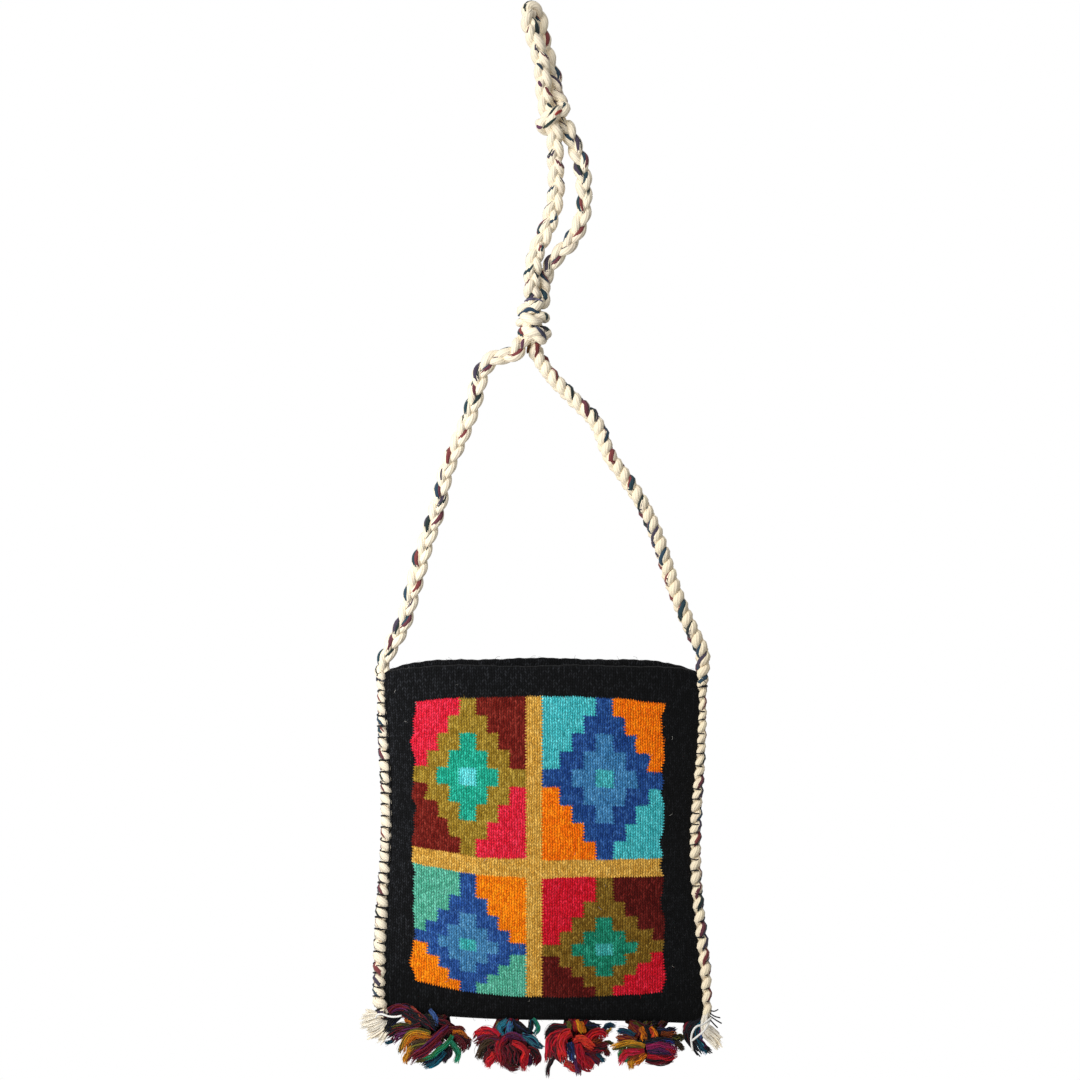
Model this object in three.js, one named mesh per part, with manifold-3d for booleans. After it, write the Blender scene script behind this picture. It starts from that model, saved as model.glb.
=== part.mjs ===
// A hand-woven shoulder bag: one wool cloth folded into an open pouch, edged and hung by one plaited cord.
// Millimetres, +Z up, front towards -Y. The origin is the inner crown of the loop that the bag hangs from.
import * as THREE from "three";
import { mergeVertices } from "three/addons/utils/BufferGeometryUtils.js";
import Module from "manifold-3d";

const wasm = await Module();
wasm.setup();

// Clearance between pieces that touch
const SEAT_GAP = 0.3;

// Cord
const STRAP_DIAMETER = 10.6;
const EDGE_CORD_DIAMETER = 9;
const CORD_SIDES = 8;

// Woven fields: four panels of stepped diamonds round a cross of plain bands
const DIAMOND_STEPS = 4;
const INNER_STEPS = 2;
const LEFT_CELL_WIDTH = 9.09;
const RIGHT_CELL_WIDTH = 9.74;
const UPPER_CELL_HEIGHT = 13.18;
const LOWER_CELL_HEIGHT = 9.74;
const LOWER_ROW_LEAN = 1.38;
const BAND_WIDTH = 11.7;
const BAND_HEIGHT = 13.1;
const FIELD_DEPTH = 0.6;

// Pouch cloth
const WALL = 3;
const LEFT_BORDER = 21.2;
const RIGHT_BORDER = 29.2;
const TOP_BORDER = 21.2;
const BOTTOM_BORDER = 17.9;
const BAND_MIDDLE_X = 2.95;
const FRONT_LIP_Z = -474.3;
const BACK_LIP_RISE = 4;
const FRONT_BELLY = 14;
const BACK_BELLY = 12;
const BELLY_HEIGHT = 120;
const FOLD_RADIUS = 4.5;
const SEAM_ALLOWANCE = 7;

// How the cloth hangs: how far each side pulls in at its waist, and how far its rows rise at the two seams
const LEFT_SEAM = { waist: 5.1, waistAt: 0.55, flare: 0 };
const RIGHT_SEAM = { waist: 7.7, waistAt: 0.47, flare: 2.9 };
const LEFT_LIFT = { fold: 7.3, foot: 18.5, band: 15.2, head: -6, lip: -7.3 };
const RIGHT_LIFT = { fold: -2.9, foot: 7.5, band: 1.5, head: -9.4, lip: -13.1 };

// Dyes of the tassel wool
const WOOL = {
  maroon: 0x68142a, crimson: 0xb81c30, scarlet: 0xd82a2c, plum: 0x60245a, mustard: 0xd8962a, orange: 0xe07c1c,
  olive: 0x665e26, green: 0x228a68, blue: 0x38789a, teal: 0x14687e, royal: 0x30489a, night: 0x1c1c22,
};

// Tassels: where each hangs along the fold, its size, and the dyes of its locks, which are given
// from right to left behind and then from left to right in front
const TASSELS = [
  {
    name: "wool_tassel_1", x: -70, reach: 25, drop: 37,
    behind: ["green", "night", "maroon", "olive", "orange"],
    before: ["maroon", "orange", "mustard", "maroon", "green", "teal"],
  },
  {
    name: "wool_tassel_2", x: -16, reach: 25, drop: 34,
    behind: ["crimson", "maroon", "blue", "plum", "crimson"],
    before: ["crimson", "maroon", "scarlet", "maroon", "scarlet", "blue"],
  },
  {
    name: "wool_tassel_3", x: 34.4, reach: 23.5, drop: 36,
    behind: ["crimson", "maroon", "night", "crimson", "plum"],
    before: ["crimson", "scarlet", "royal", "scarlet", "crimson", "teal"],
  },
  {
    name: "wool_tassel_4", x: 85, reach: 24.5, drop: 30,
    behind: ["maroon", "plum", "olive", "orange", "teal"],
    before: ["mustard", "olive", "crimson", "orange", "plum", "maroon"],
  },
];
const TASSEL_DEPTH_SHARE = 0.72;
const TASSEL_HEART_SHARE = 0.66;
const TASSEL_RINGS = [
  { locks: 11, share: 1, lower: 0.72, droop: 2.5 },
  { locks: 7, share: 0.55, lower: 1, droop: 6 },
];
const TASSEL_LOCK_RADIUS = 5.6;
const TASSEL_TIP_SHARE = 0.75;

// Frayed ends of the cord at the lower corners
const LEFT_TUFT = { lean: -0.5, spread: 0.62, length: 30 };
const RIGHT_TUFT = { lean: 0.02, spread: 0.55, length: 25 };
const TUFT_LOCKS = 7;
const TUFT_LOCK_RADIUS = 3;
const TUFT_NECK = 4.2;

// Knots: the wraps of each, from the top down
const LOWER_KNOT = {
  core: { x: 2, y: 0, top: -208, foot: -239, radius: 6 },
  wraps: [
    { x: 2.2, z: -212.1, ring: 5.8, tilt: 0.1 },
    { x: 1.5, z: -222, ring: 7.1, tilt: 0.16 },
    { x: 4, z: -232.9, ring: 8.2, tilt: 0.5 },
  ],
};
const UPPER_KNOT = {
  core: { x: 16.5, y: 0, top: -70, foot: -84, radius: 5.5 },
  wraps: [{ x: 16.5, z: -76.3, ring: 8.6, tilt: -0.55 }],
};

// Free runs of the cord, as chosen points [x, y, z]
const LEFT_LEG = [
  [-109.9, 0, -481], [-109.9, 0, -474], [-106.6, 0, -470.9], [-99, 0, -455.9], [-92.3, 0, -442.1],
  [-84.7, 0, -415.6], [-77.4, 0, -388.8], [-67.5, -1, -359], [-61, -1, -332], [-48.9, -2, -303.4],
  [-42, -2, -284.9], [-36, -3, -261.8], [-30.2, -3, -253], [-21.9, -4, -248.3], [-14.2, -4.5, -247],
  [-5.8, -4.5, -241.3], [-1, -2, -232],
];
const RIGHT_LEG = [
  [127.1, 0, -487], [127.1, 0, -480], [126.3, 0, -465.9], [121.2, 0, -454.2], [114.6, 0, -440.7],
  [104.4, 0, -415.6], [95.3, 0, -387.1], [84.4, 0, -360.3], [69.8, 1, -337], [57.6, 1, -320],
  [48.5, 2, -297], [30.7, 3, -278.1], [17.4, 4, -264.7], [9.8, 4.5, -254.5], [2.6, 4.5, -243.2],
  [2, 2, -230],
];
const LEFT_RUN = [
  [1.5, -3, -222], [1.5, -3.8, -202], [1.5, -3.8, -194], [4.4, -3, -172.7], [12.9, -1, -154],
  [18.2, 0, -135.5], [19.3, -1, -126], [18.6, -2, -107.7], [18, -3.5, -88.7], [17, -4, -78],
];
const RIGHT_RUN = [
  [10, 3.6, -222], [10.2, 4, -202], [11, 4, -190], [18.5, 3, -176], [30.7, 2, -163.2],
  [38.7, 1, -145], [39.6, 1, -126], [37.2, 2, -107.7], [30.8, 3.5, -88.7], [26.5, 4, -80],
];
const HANGING_LOOP = [
  [11, -4, -78], [11, -4, -65], [8.8, -5.5, -50], [5.8, -7.5, -35.4], [0.7, -9.6, -20.8],
  [-1.4, -10.6, -8], [0, -7.6, 2.2], [0.6, 0, 5.3], [1.6, 7.6, 2.2], [5, 10.6, -8],
  [10.5, 9.6, -20.8], [15.3, 7.5, -33], [19, 5.5, -47], [21.2, 4, -62], [21.4, 4, -78],
];

// Colours of the yarns
const BLACK = 0x1a1a1d;
const GOLD = 0xc4923c;
const CREAM = 0xebdec3;
const CRIMSON = 0xd82850;
const MAROON = 0x6c1a1c;
const OLIVE = 0x8a6a2a;
const EMERALD = 0x14a082;
const PALE_BLUE = 0x60c4d0;
const TURQUOISE = 0x40b0b8;
const MINT = 0x54c0a8;
const ORANGE = 0xea7a10;
const DARK_BLUE = 0x264a90;
const MID_BLUE = 0x3c70aa;
const PANELS = {
  upperLeft: { corner: CRIMSON, other: MAROON, diamond: OLIVE, inner: EMERALD, centre: PALE_BLUE },
  upperRight: { corner: TURQUOISE, other: ORANGE, diamond: DARK_BLUE, inner: MID_BLUE, centre: TURQUOISE },
  lowerLeft: { corner: MINT, other: ORANGE, diamond: DARK_BLUE, inner: MID_BLUE, centre: TURQUOISE },
  lowerRight: { corner: CRIMSON, other: MAROON, diamond: OLIVE, inner: EMERALD, centre: PALE_BLUE },
};

// Column and row lines of the cloth, worked out from the fields
const CELLS = 2 * DIAMOND_STEPS + 1;
const PANEL_LEFT = BAND_MIDDLE_X - BAND_WIDTH / 2 - CELLS * LEFT_CELL_WIDTH;
const PANEL_RIGHT = BAND_MIDDLE_X + BAND_WIDTH / 2 + CELLS * RIGHT_CELL_WIDTH;
const SEAM_LEFT = PANEL_LEFT - LEFT_BORDER;
const SEAM_RIGHT = PANEL_RIGHT + RIGHT_BORDER;
const MIDDLE_X = (SEAM_LEFT + SEAM_RIGHT) / 2;
const BORDER_SHARES = [0, 0.12, 0.45];
const BAND_FOOT = BOTTOM_BORDER + CELLS * LOWER_CELL_HEIGHT;
const BAND_HEAD = BAND_FOOT + BAND_HEIGHT;
const FIELD_HEAD = BAND_HEAD + CELLS * UPPER_CELL_HEIGHT;
const CLOTH_HEIGHT = FIELD_HEAD + TOP_BORDER;

function steps(start, size) {
  return Array.from({ length: CELLS + 1 }, (_, k) => start + k * size);
}

// The rows of the lower panels grow taller towards the band, where the cloth hangs slack.
function leaningSteps(start, size, lean) {
  const height = CELLS * size;
  return steps(0, 1).map((k) => start + height * (1 - (1 - k / CELLS) ** (1 / lean)));
}

// Each column is an x on the flat front and the share of the border that lies between it and the seam.
const COLUMNS = [
  ...BORDER_SHARES.map((share) => ({ border: "left", share })),
  ...steps(PANEL_LEFT, LEFT_CELL_WIDTH).map((x) => ({ x })),
  ...steps(BAND_MIDDLE_X + BAND_WIDTH / 2, RIGHT_CELL_WIDTH).map((x) => ({ x })),
  ...BORDER_SHARES.toReversed().map((share) => ({ border: "right", share })),
];
const FIRST_CELL_COLUMN = BORDER_SHARES.length;
const ROWS = [
  ...[0, 0.08, 0.3, 0.65].map((share) => share * BOTTOM_BORDER),
  ...leaningSteps(BOTTOM_BORDER, LOWER_CELL_HEIGHT, LOWER_ROW_LEAN),
  ...steps(BAND_HEAD, UPPER_CELL_HEIGHT),
  FIELD_HEAD + TOP_BORDER / 2,
  CLOTH_HEIGHT,
];
const FIRST_CELL_ROW = 4;
const INNER_ROW_SHARES = [0, 0.03, 0.08, 0.18, 0.32, 0.48, 0.64, 0.82, 1];

function clamp01(value) {
  return Math.min(1, Math.max(0, value));
}

// Straight-line value between the named rows of the cloth
function liftAt(lift, v) {
  const stops = [
    [0, lift.fold],
    [BOTTOM_BORDER, lift.foot],
    [(BAND_FOOT + BAND_HEAD) / 2, lift.band],
    [FIELD_HEAD, lift.head],
    [CLOTH_HEIGHT, lift.lip],
  ];
  const k = Math.max(1, stops.findIndex(([at]) => v <= at + 1e-6));
  const [from, low] = stops[k - 1];
  const [to, high] = stops[k];
  return low + ((high - low) * (v - from)) / (to - from);
}

function waistAt(seam, v) {
  const share = v / CLOTH_HEIGHT;
  const pull = 0.5 * (1 + Math.cos(2 * Math.PI * (share - seam.waistAt)));
  return seam.waist * pull + seam.flare * share;
}

function seamX(side, v) {
  return side < 0 ? SEAM_LEFT + waistAt(LEFT_SEAM, v) : SEAM_RIGHT - waistAt(RIGHT_SEAM, v);
}

function heightAt(x, v) {
  const fromLeft = clamp01((MIDDLE_X - x) / (MIDDLE_X - SEAM_LEFT));
  const fromRight = clamp01((x - MIDDLE_X) / (SEAM_RIGHT - MIDDLE_X));
  const lift = liftAt(LEFT_LIFT, v) * fromLeft ** 2 + liftAt(RIGHT_LIFT, v) * fromRight ** 2;
  return FRONT_LIP_Z - CLOTH_HEIGHT + v + lift;
}

function columnX(column, v, inset) {
  if (column.border === "left") {
    const seam = seamX(-1, v) + inset;
    return seam + column.share * (PANEL_LEFT - seam);
  }
  if (column.border === "right") {
    const seam = seamX(1, v) - inset;
    return seam + column.share * (PANEL_RIGHT - seam);
  }
  return column.x;
}

// Fullness across the pouch: none at the seams, all of it in the middle
function fullness(x, v, inset) {
  const middle = (seamX(-1, v) + seamX(1, v)) / 2;
  const half = (seamX(1, v) - seamX(-1, v)) / 2 - inset;
  return (1 - clamp01(Math.abs(x - middle) / half) ** 2.6) ** 0.7;
}

function bellyAt(belly, v) {
  return FOLD_RADIUS + (belly - FOLD_RADIUS) * Math.sin((Math.PI / 2) * clamp01(v / BELLY_HEIGHT));
}

function foldRound(v) {
  return Math.sqrt(1 - (1 - clamp01(v / FOLD_RADIUS)) ** 2);
}

// The back of the cloth stands higher than the front towards its lip.
function backRise(side, v, full) {
  const share = clamp01((v - WALL) / (CLOTH_HEIGHT - WALL));
  return side > 0 ? BACK_LIP_RISE * share ** 2 * full : 0;
}

// A point of the outer face: side -1 is the front, 1 the back, and sunk moves it into the wall.
function outerPoint(side, column, v, sunk = 0) {
  const x = columnX(column, v, 0);
  const full = fullness(x, v, 0);
  const belly = bellyAt(side < 0 ? FRONT_BELLY : BACK_BELLY, v);
  const depth = foldRound(v) * (WALL + (belly - WALL) * full);
  return new THREE.Vector3(x, side * (depth - sunk), heightAt(x, v) + backRise(side, v, full));
}

function innerPoint(side, column, v) {
  const x = columnX(column, v, SEAM_ALLOWANCE);
  const full = fullness(x, v, SEAM_ALLOWANCE);
  const belly = bellyAt(side < 0 ? FRONT_BELLY : BACK_BELLY, v);
  const depth = foldRound(v - WALL) * (belly - WALL) * full;
  return new THREE.Vector3(x, side * depth, heightAt(x, v) + backRise(side, v, full));
}

// What is woven in one cell of the front: its colour, and whether it lies flat below the thicker yarns
function fieldAt(i, j) {
  const column = i - FIRST_CELL_COLUMN;
  const row = j - FIRST_CELL_ROW;
  const inside = column >= 0 && column <= 2 * CELLS && row >= 0 && row <= 2 * CELLS;
  if (!inside) return { colour: BLACK, sunk: false };
  if (column === CELLS || row === CELLS) return { colour: GOLD, sunk: false };
  const across = (column % (CELLS + 1)) - DIAMOND_STEPS;
  const up = (row % (CELLS + 1)) - DIAMOND_STEPS;
  const panel = PANELS[(row > CELLS ? "upper" : "lower") + (column > CELLS ? "Right" : "Left")];
  const far = Math.abs(across) + Math.abs(up);
  if (far === 0) return { colour: panel.centre, sunk: false };
  if (far <= INNER_STEPS) return { colour: panel.inner, sunk: true };
  if (far <= DIAMOND_STEPS) return { colour: panel.diamond, sunk: false };
  return { colour: across * up < 0 ? panel.corner : panel.other, sunk: true };
}

// Collects flat faces, each with one colour, into a geometry.
class FaceList {
  constructor() {
    this.positions = [];
    this.colours = [];
  }

  add(points, colour = BLACK) {
    const shade = new THREE.Color(colour);
    for (let k = 1; k + 1 < points.length; k += 1) {
      for (const point of [points[0], points[k], points[k + 1]]) {
        this.positions.push(point.x, point.y, point.z);
        this.colours.push(shade.r, shade.g, shade.b);
      }
    }
  }

  // One sheet of cells over columns and rows, facing -Y, or +Y when turned
  addSheet(pointAt, rows, turned) {
    for (let i = 0; i + 1 < COLUMNS.length; i += 1) {
      for (let j = 0; j + 1 < rows.length; j += 1) {
        const corners = [
          pointAt(COLUMNS[i], rows[j]),
          pointAt(COLUMNS[i + 1], rows[j]),
          pointAt(COLUMNS[i + 1], rows[j + 1]),
          pointAt(COLUMNS[i], rows[j + 1]),
        ];
        this.add(turned ? corners.toReversed() : corners);
      }
    }
  }

  geometry() {
    const made = new THREE.BufferGeometry();
    made.setAttribute("position", new THREE.Float32BufferAttribute(this.positions, 3));
    made.setAttribute("color", new THREE.Float32BufferAttribute(this.colours, 3));
    made.computeVertexNormals();
    return made;
  }
}

// The woven front: each cell at its own level, with a small step wherever two levels meet
function addWovenFront(faces) {
  const level = (i, j) => (fieldAt(i, j).sunk ? FIELD_DEPTH : 0);
  const at = (i, j, sunk) => outerPoint(-1, COLUMNS[i], ROWS[j], sunk);
  for (let i = 0; i + 1 < COLUMNS.length; i += 1) {
    for (let j = 0; j + 1 < ROWS.length; j += 1) {
      const own = level(i, j);
      const colour = fieldAt(i, j).colour;
      faces.add([at(i, j, own), at(i + 1, j, own), at(i + 1, j + 1, own), at(i, j + 1, own)], colour);
      const right = i + 2 < COLUMNS.length ? level(i + 1, j) : own;
      if (right !== own) {
        const edge = i + 1;
        faces.add([at(edge, j + 1, own), at(edge, j, own), at(edge, j, right), at(edge, j + 1, right)], colour);
      }
      const above = j + 2 < ROWS.length ? level(i, j + 1) : own;
      if (above !== own) {
        const edge = j + 1;
        faces.add([at(i, edge, own), at(i + 1, edge, own), at(i + 1, edge, above), at(i, edge, above)], colour);
      }
    }
  }
}

// The two sewn sides: strips between the front and the back sheet
function addSeams(faces) {
  for (const [column, turned] of [[COLUMNS[0], false], [COLUMNS.at(-1), true]]) {
    for (let j = 0; j + 1 < ROWS.length; j += 1) {
      const corners = [
        outerPoint(1, column, ROWS[j]),
        outerPoint(-1, column, ROWS[j]),
        outerPoint(-1, column, ROWS[j + 1]),
        outerPoint(1, column, ROWS[j + 1]),
      ];
      const shown = j === 0 ? corners.slice(1) : corners;
      faces.add(turned ? shown.toReversed() : shown);
    }
  }
}

// The lips of the mouth, joining the outer and inner sheets
function addLips(faces) {
  for (let i = 0; i + 1 < COLUMNS.length; i += 1) {
    for (const side of [-1, 1]) {
      const corners = [
        outerPoint(side, COLUMNS[i], CLOTH_HEIGHT),
        outerPoint(side, COLUMNS[i + 1], CLOTH_HEIGHT),
        innerPoint(side, COLUMNS[i + 1], CLOTH_HEIGHT),
        innerPoint(side, COLUMNS[i], CLOTH_HEIGHT),
      ];
      faces.add(side < 0 ? corners : corners.toReversed());
    }
  }
  for (const [column, turned] of [[COLUMNS[0], false], [COLUMNS.at(-1), true]]) {
    const corners = [
      outerPoint(1, column, CLOTH_HEIGHT),
      outerPoint(-1, column, CLOTH_HEIGHT),
      innerPoint(-1, column, CLOTH_HEIGHT),
    ];
    faces.add(turned ? corners.toReversed() : corners);
  }
}

function wovenPouch() {
  const faces = new FaceList();
  const innerRows = INNER_ROW_SHARES.map((share) => WALL + share * (CLOTH_HEIGHT - WALL));
  addWovenFront(faces);
  faces.addSheet((column, v) => outerPoint(1, column, v), ROWS, true);
  faces.addSheet((column, v) => innerPoint(-1, column, v), innerRows, true);
  faces.addSheet((column, v) => innerPoint(1, column, v), innerRows, false);
  addSeams(faces);
  addLips(faces);
  return faces.geometry();
}

function circleShape(radius, sides) {
  const corners = Array.from({ length: sides }, (_, k) => {
    const angle = (2 * Math.PI * (k + 0.5)) / sides;
    return new THREE.Vector2(radius * Math.cos(angle), radius * Math.sin(angle));
  });
  return new THREE.Shape(corners);
}

function cordTube(points, diameter, stepCount) {
  const path = new THREE.CatmullRomCurve3(points, false, "centripetal");
  const options = { steps: stepCount, extrudePath: path };
  return new THREE.ExtrudeGeometry(circleShape(diameter / 2, CORD_SIDES), options);
}

function solidOf(geometry) {
  const bare = new THREE.BufferGeometry();
  bare.setAttribute("position", geometry.getAttribute("position"));
  bare.setIndex(geometry.index);
  const merged = mergeVertices(bare, 1e-4);
  const vertProperties = merged.attributes.position.array;
  const triVerts = new Uint32Array(merged.index.array);
  return new wasm.Manifold(new wasm.Mesh({ numProp: 3, vertProperties, triVerts }));
}

function geometryOf(solid) {
  const mesh = solid.getMesh();
  const made = new THREE.BufferGeometry();
  made.setAttribute("position", new THREE.BufferAttribute(new Float32Array(mesh.vertProperties), 3));
  made.setIndex(Array.from(mesh.triVerts));
  const flat = made.toNonIndexed();
  flat.computeVertexNormals();
  return flat;
}

function joined(geometries) {
  return geometries.map(solidOf).reduce((whole, next) => whole.add(next));
}

// A lock of wool or cotton: round rings along a curve, thinning to a blunt tip
function taperedLock(curve, radius, tipShare, rings = 4, sides = 5) {
  const frames = curve.computeFrenetFrames(rings, false);
  const faces = new FaceList();
  const ring = Array.from({ length: rings + 1 }, (_, k) => {
    const centre = curve.getPointAt(k / rings);
    const size = radius * (1 + (tipShare - 1) * (k / rings) ** 2);
    return Array.from({ length: sides }, (_, n) => {
      const angle = (2 * Math.PI * n) / sides;
      const out = frames.normals[k].clone().multiplyScalar(size * Math.cos(angle));
      return out.addScaledVector(frames.binormals[k], size * Math.sin(angle)).add(centre);
    });
  });
  for (let k = 0; k < rings; k += 1) {
    for (let n = 0; n < sides; n += 1) {
      const next = (n + 1) % sides;
      faces.add([ring[k][n], ring[k][next], ring[k + 1][next], ring[k + 1][n]]);
    }
  }
  faces.add(ring[0].toReversed());
  faces.add(ring[rings]);
  return faces.geometry();
}

// Gives each face of a tassel the dye of the lock on its side
function dyedLocks(geometry, x, dyes) {
  const place = geometry.getAttribute("position");
  const colours = [];
  for (let k = 0; k < place.count; k += 3) {
    const corners = [k, k + 1, k + 2];
    const across = corners.reduce((sum, n) => sum + place.getX(n) - x, 0);
    const deep = corners.reduce((sum, n) => sum + place.getY(n), 0) / TASSEL_DEPTH_SHARE;
    const turn = Math.atan2(deep, across) / (2 * Math.PI) + (deep < 0 ? 1 : 0);
    const shade = new THREE.Color(WOOL[dyes[Math.floor(turn * dyes.length) % dyes.length]]);
    corners.forEach(() => colours.push(shade.r, shade.g, shade.b));
  }
  geometry.setAttribute("color", new THREE.Float32BufferAttribute(colours, 3));
  return geometry;
}

// A bunch of wool locks drawn through the fold: outer locks arch out and droop, inner ones hang down.
function tassel({ x, reach, drop, behind, before }) {
  const top = heightAt(x, 0) - SEAT_GAP;
  const half = (drop * TASSEL_HEART_SHARE) / 2;
  const heart = new THREE.SphereGeometry(1, 10, 6);
  const wide = reach * TASSEL_HEART_SHARE;
  heart.rotateX(Math.PI / 2).scale(wide, wide * TASSEL_DEPTH_SHARE, half).translate(x, 0, top - half);
  const shoulder = top - TASSEL_LOCK_RADIUS;
  const locks = TASSEL_RINGS.flatMap(({ locks: count, share, lower, droop }) =>
    Array.from({ length: count }, (_, k) => {
      const angle = (2 * Math.PI * (k + share / 2)) / count;
      const out = (reach - TASSEL_LOCK_RADIUS * TASSEL_TIP_SHARE) * share;
      const across = out * Math.cos(angle);
      const deep = out * TASSEL_DEPTH_SHARE * Math.sin(angle);
      const ragged = 1 - 0.12 * (k % 3);
      const route = new THREE.QuadraticBezierCurve3(
        new THREE.Vector3(x + 0.2 * across, 0.2 * deep, shoulder - droop),
        new THREE.Vector3(x + across, deep, shoulder - droop),
        new THREE.Vector3(x + across, deep, top - drop * lower * ragged),
      );
      return taperedLock(route, TASSEL_LOCK_RADIUS, TASSEL_TIP_SHARE, 3);
    }),
  );
  return dyedLocks(geometryOf(joined([heart, ...locks])), x, [...behind, ...before]);
}

// The unplaited end of the cord: locks that fan out from its cut face
function cordTuft(end, { lean, spread, length }) {
  const neck = new THREE.SphereGeometry(TUFT_NECK, 8, 6);
  neck.translate(end.x, end.y, end.z - SEAT_GAP - TUFT_NECK);
  const start = new THREE.Vector3(end.x, end.y, end.z - SEAT_GAP - TUFT_NECK);
  const locks = Array.from({ length: TUFT_LOCKS }, (_, k) => {
    const turn = lean + spread * ((2 * k) / (TUFT_LOCKS - 1) - 1);
    const deep = 4 * Math.sin(2.4 * k);
    const tip = new THREE.Vector3(
      start.x + length * Math.sin(turn),
      start.y + deep,
      start.z - length * Math.cos(turn) * 0.85,
    );
    const bend = new THREE.Vector3(
      start.x + 0.5 * length * Math.sin(turn * 0.8),
      start.y + deep * 0.3,
      start.z - 0.4 * length * Math.cos(turn),
    );
    return taperedLock(new THREE.QuadraticBezierCurve3(start, bend, tip), TUFT_LOCK_RADIUS, 0.5, 3);
  });
  return geometryOf(joined([neck, ...locks]));
}

// A knot: wraps of the cord pulled tight round its own core, grown all round when it is used to trim a cord
function knotSolid({ core, wraps }, grown = 0) {
  const height = core.top - core.foot + 2 * grown;
  const middle = new THREE.CylinderGeometry(core.radius + grown, core.radius + grown, height, 12);
  middle.rotateX(Math.PI / 2).translate(core.x, core.y, (core.top + core.foot) / 2);
  const rings = wraps.map(({ x, z, ring, tilt }) => {
    const wrap = new THREE.TorusGeometry(ring, STRAP_DIAMETER / 2 + grown, 8, 14);
    return wrap.rotateY(tilt).translate(x, core.y, z);
  });
  return joined([middle, ...rings]);
}

// Moves the start of a chosen route onto a given point and eases the shift out along it.
function tiedRoute(points, start) {
  const first = new THREE.Vector3(...points[0]);
  const shift = start.clone().sub(first);
  return points.map((point, k) => {
    const share = 1 - clamp01((k - 1) / (points.length - 2));
    return new THREE.Vector3(...point).addScaledVector(shift, share);
  });
}

// A free run of the cord, trimmed where it enters the knots
function freeRun(points, stepCount, knots) {
  const tube = solidOf(cordTube(points, STRAP_DIAMETER, stepCount));
  const cut = knots.reduce((rest, knot) => rest.subtract(knotSolid(knot, SEAT_GAP)), tube);
  const pieces = cut.decompose().toSorted((a, b) => b.volume() - a.volume());
  return geometryOf(pieces[0]);
}

function edgeCordPoints(side) {
  const off = side * (EDGE_CORD_DIAMETER / 2 + SEAT_GAP);
  const shares = [0.015, 0.1, 0.2, 0.3, 0.4, 0.5, 0.6, 0.7, 0.8, 0.9, 0.97, 1];
  return shares.map((share) => {
    const v = Math.min(share, 0.97) * CLOTH_HEIGHT;
    const climb = (share - v / CLOTH_HEIGHT) * CLOTH_HEIGHT;
    const seam = seamX(side, v);
    return new THREE.Vector3(seam + off, 0, heightAt(seam, v) + climb);
  });
}

function part(name, geometry, material) {
  const mesh = new THREE.Mesh(geometry, material);
  mesh.name = name;
  return mesh;
}

const dyedWool = new THREE.MeshStandardMaterial({ vertexColors: true, roughness: 0.95, metalness: 0 });
const cotton = new THREE.MeshStandardMaterial({ color: CREAM, roughness: 0.85, metalness: 0 });

const bag = new THREE.Group();
bag.add(part("woven_pouch", wovenPouch(), dyedWool));

for (const [side, word, leg, tuft] of [
  [-1, "left", LEFT_LEG, LEFT_TUFT],
  [1, "right", RIGHT_LEG, RIGHT_TUFT],
]) {
  const edge = edgeCordPoints(side);
  const legStart = edge.at(-1).clone().add(new THREE.Vector3(0, 0, SEAT_GAP));
  bag.add(part(`${word}_edge_cord`, cordTube(edge, EDGE_CORD_DIAMETER, 14), cotton));
  bag.add(part(`${word}_cord_tuft`, cordTuft(edge[0], tuft), cotton));
  bag.add(part(`${word}_strap_leg`, freeRun(tiedRoute(leg, legStart), 18, [LOWER_KNOT]), cotton));
}

const vectors = (points) => points.map((point) => new THREE.Vector3(...point));
bag.add(part("lower_knot", geometryOf(knotSolid(LOWER_KNOT)), cotton));
bag.add(part("left_loop_run", freeRun(vectors(LEFT_RUN), 11, [LOWER_KNOT, UPPER_KNOT]), cotton));
bag.add(part("right_loop_run", freeRun(vectors(RIGHT_RUN), 12, [LOWER_KNOT, UPPER_KNOT]), cotton));
bag.add(part("upper_knot", geometryOf(knotSolid(UPPER_KNOT)), cotton));
bag.add(part("hanging_loop", freeRun(vectors(HANGING_LOOP), 22, [UPPER_KNOT]), cotton));

for (const one of TASSELS) {
  bag.add(part(one.name, tassel(one), dyedWool));
}

export default bag;
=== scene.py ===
import math
import random

import bpy
import numpy as np
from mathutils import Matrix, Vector


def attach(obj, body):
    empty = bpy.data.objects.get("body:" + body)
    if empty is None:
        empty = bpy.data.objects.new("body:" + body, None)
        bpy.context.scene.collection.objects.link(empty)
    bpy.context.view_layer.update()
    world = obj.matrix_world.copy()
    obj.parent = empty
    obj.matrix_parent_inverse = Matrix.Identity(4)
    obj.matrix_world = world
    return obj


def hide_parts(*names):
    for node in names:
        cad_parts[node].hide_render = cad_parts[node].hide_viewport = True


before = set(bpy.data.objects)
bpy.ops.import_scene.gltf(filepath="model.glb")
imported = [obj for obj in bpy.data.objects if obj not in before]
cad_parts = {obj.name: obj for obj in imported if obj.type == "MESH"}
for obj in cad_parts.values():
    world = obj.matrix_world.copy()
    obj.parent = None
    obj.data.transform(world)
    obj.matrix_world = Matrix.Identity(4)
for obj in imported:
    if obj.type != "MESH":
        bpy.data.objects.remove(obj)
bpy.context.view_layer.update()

MM = 0.001

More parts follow.
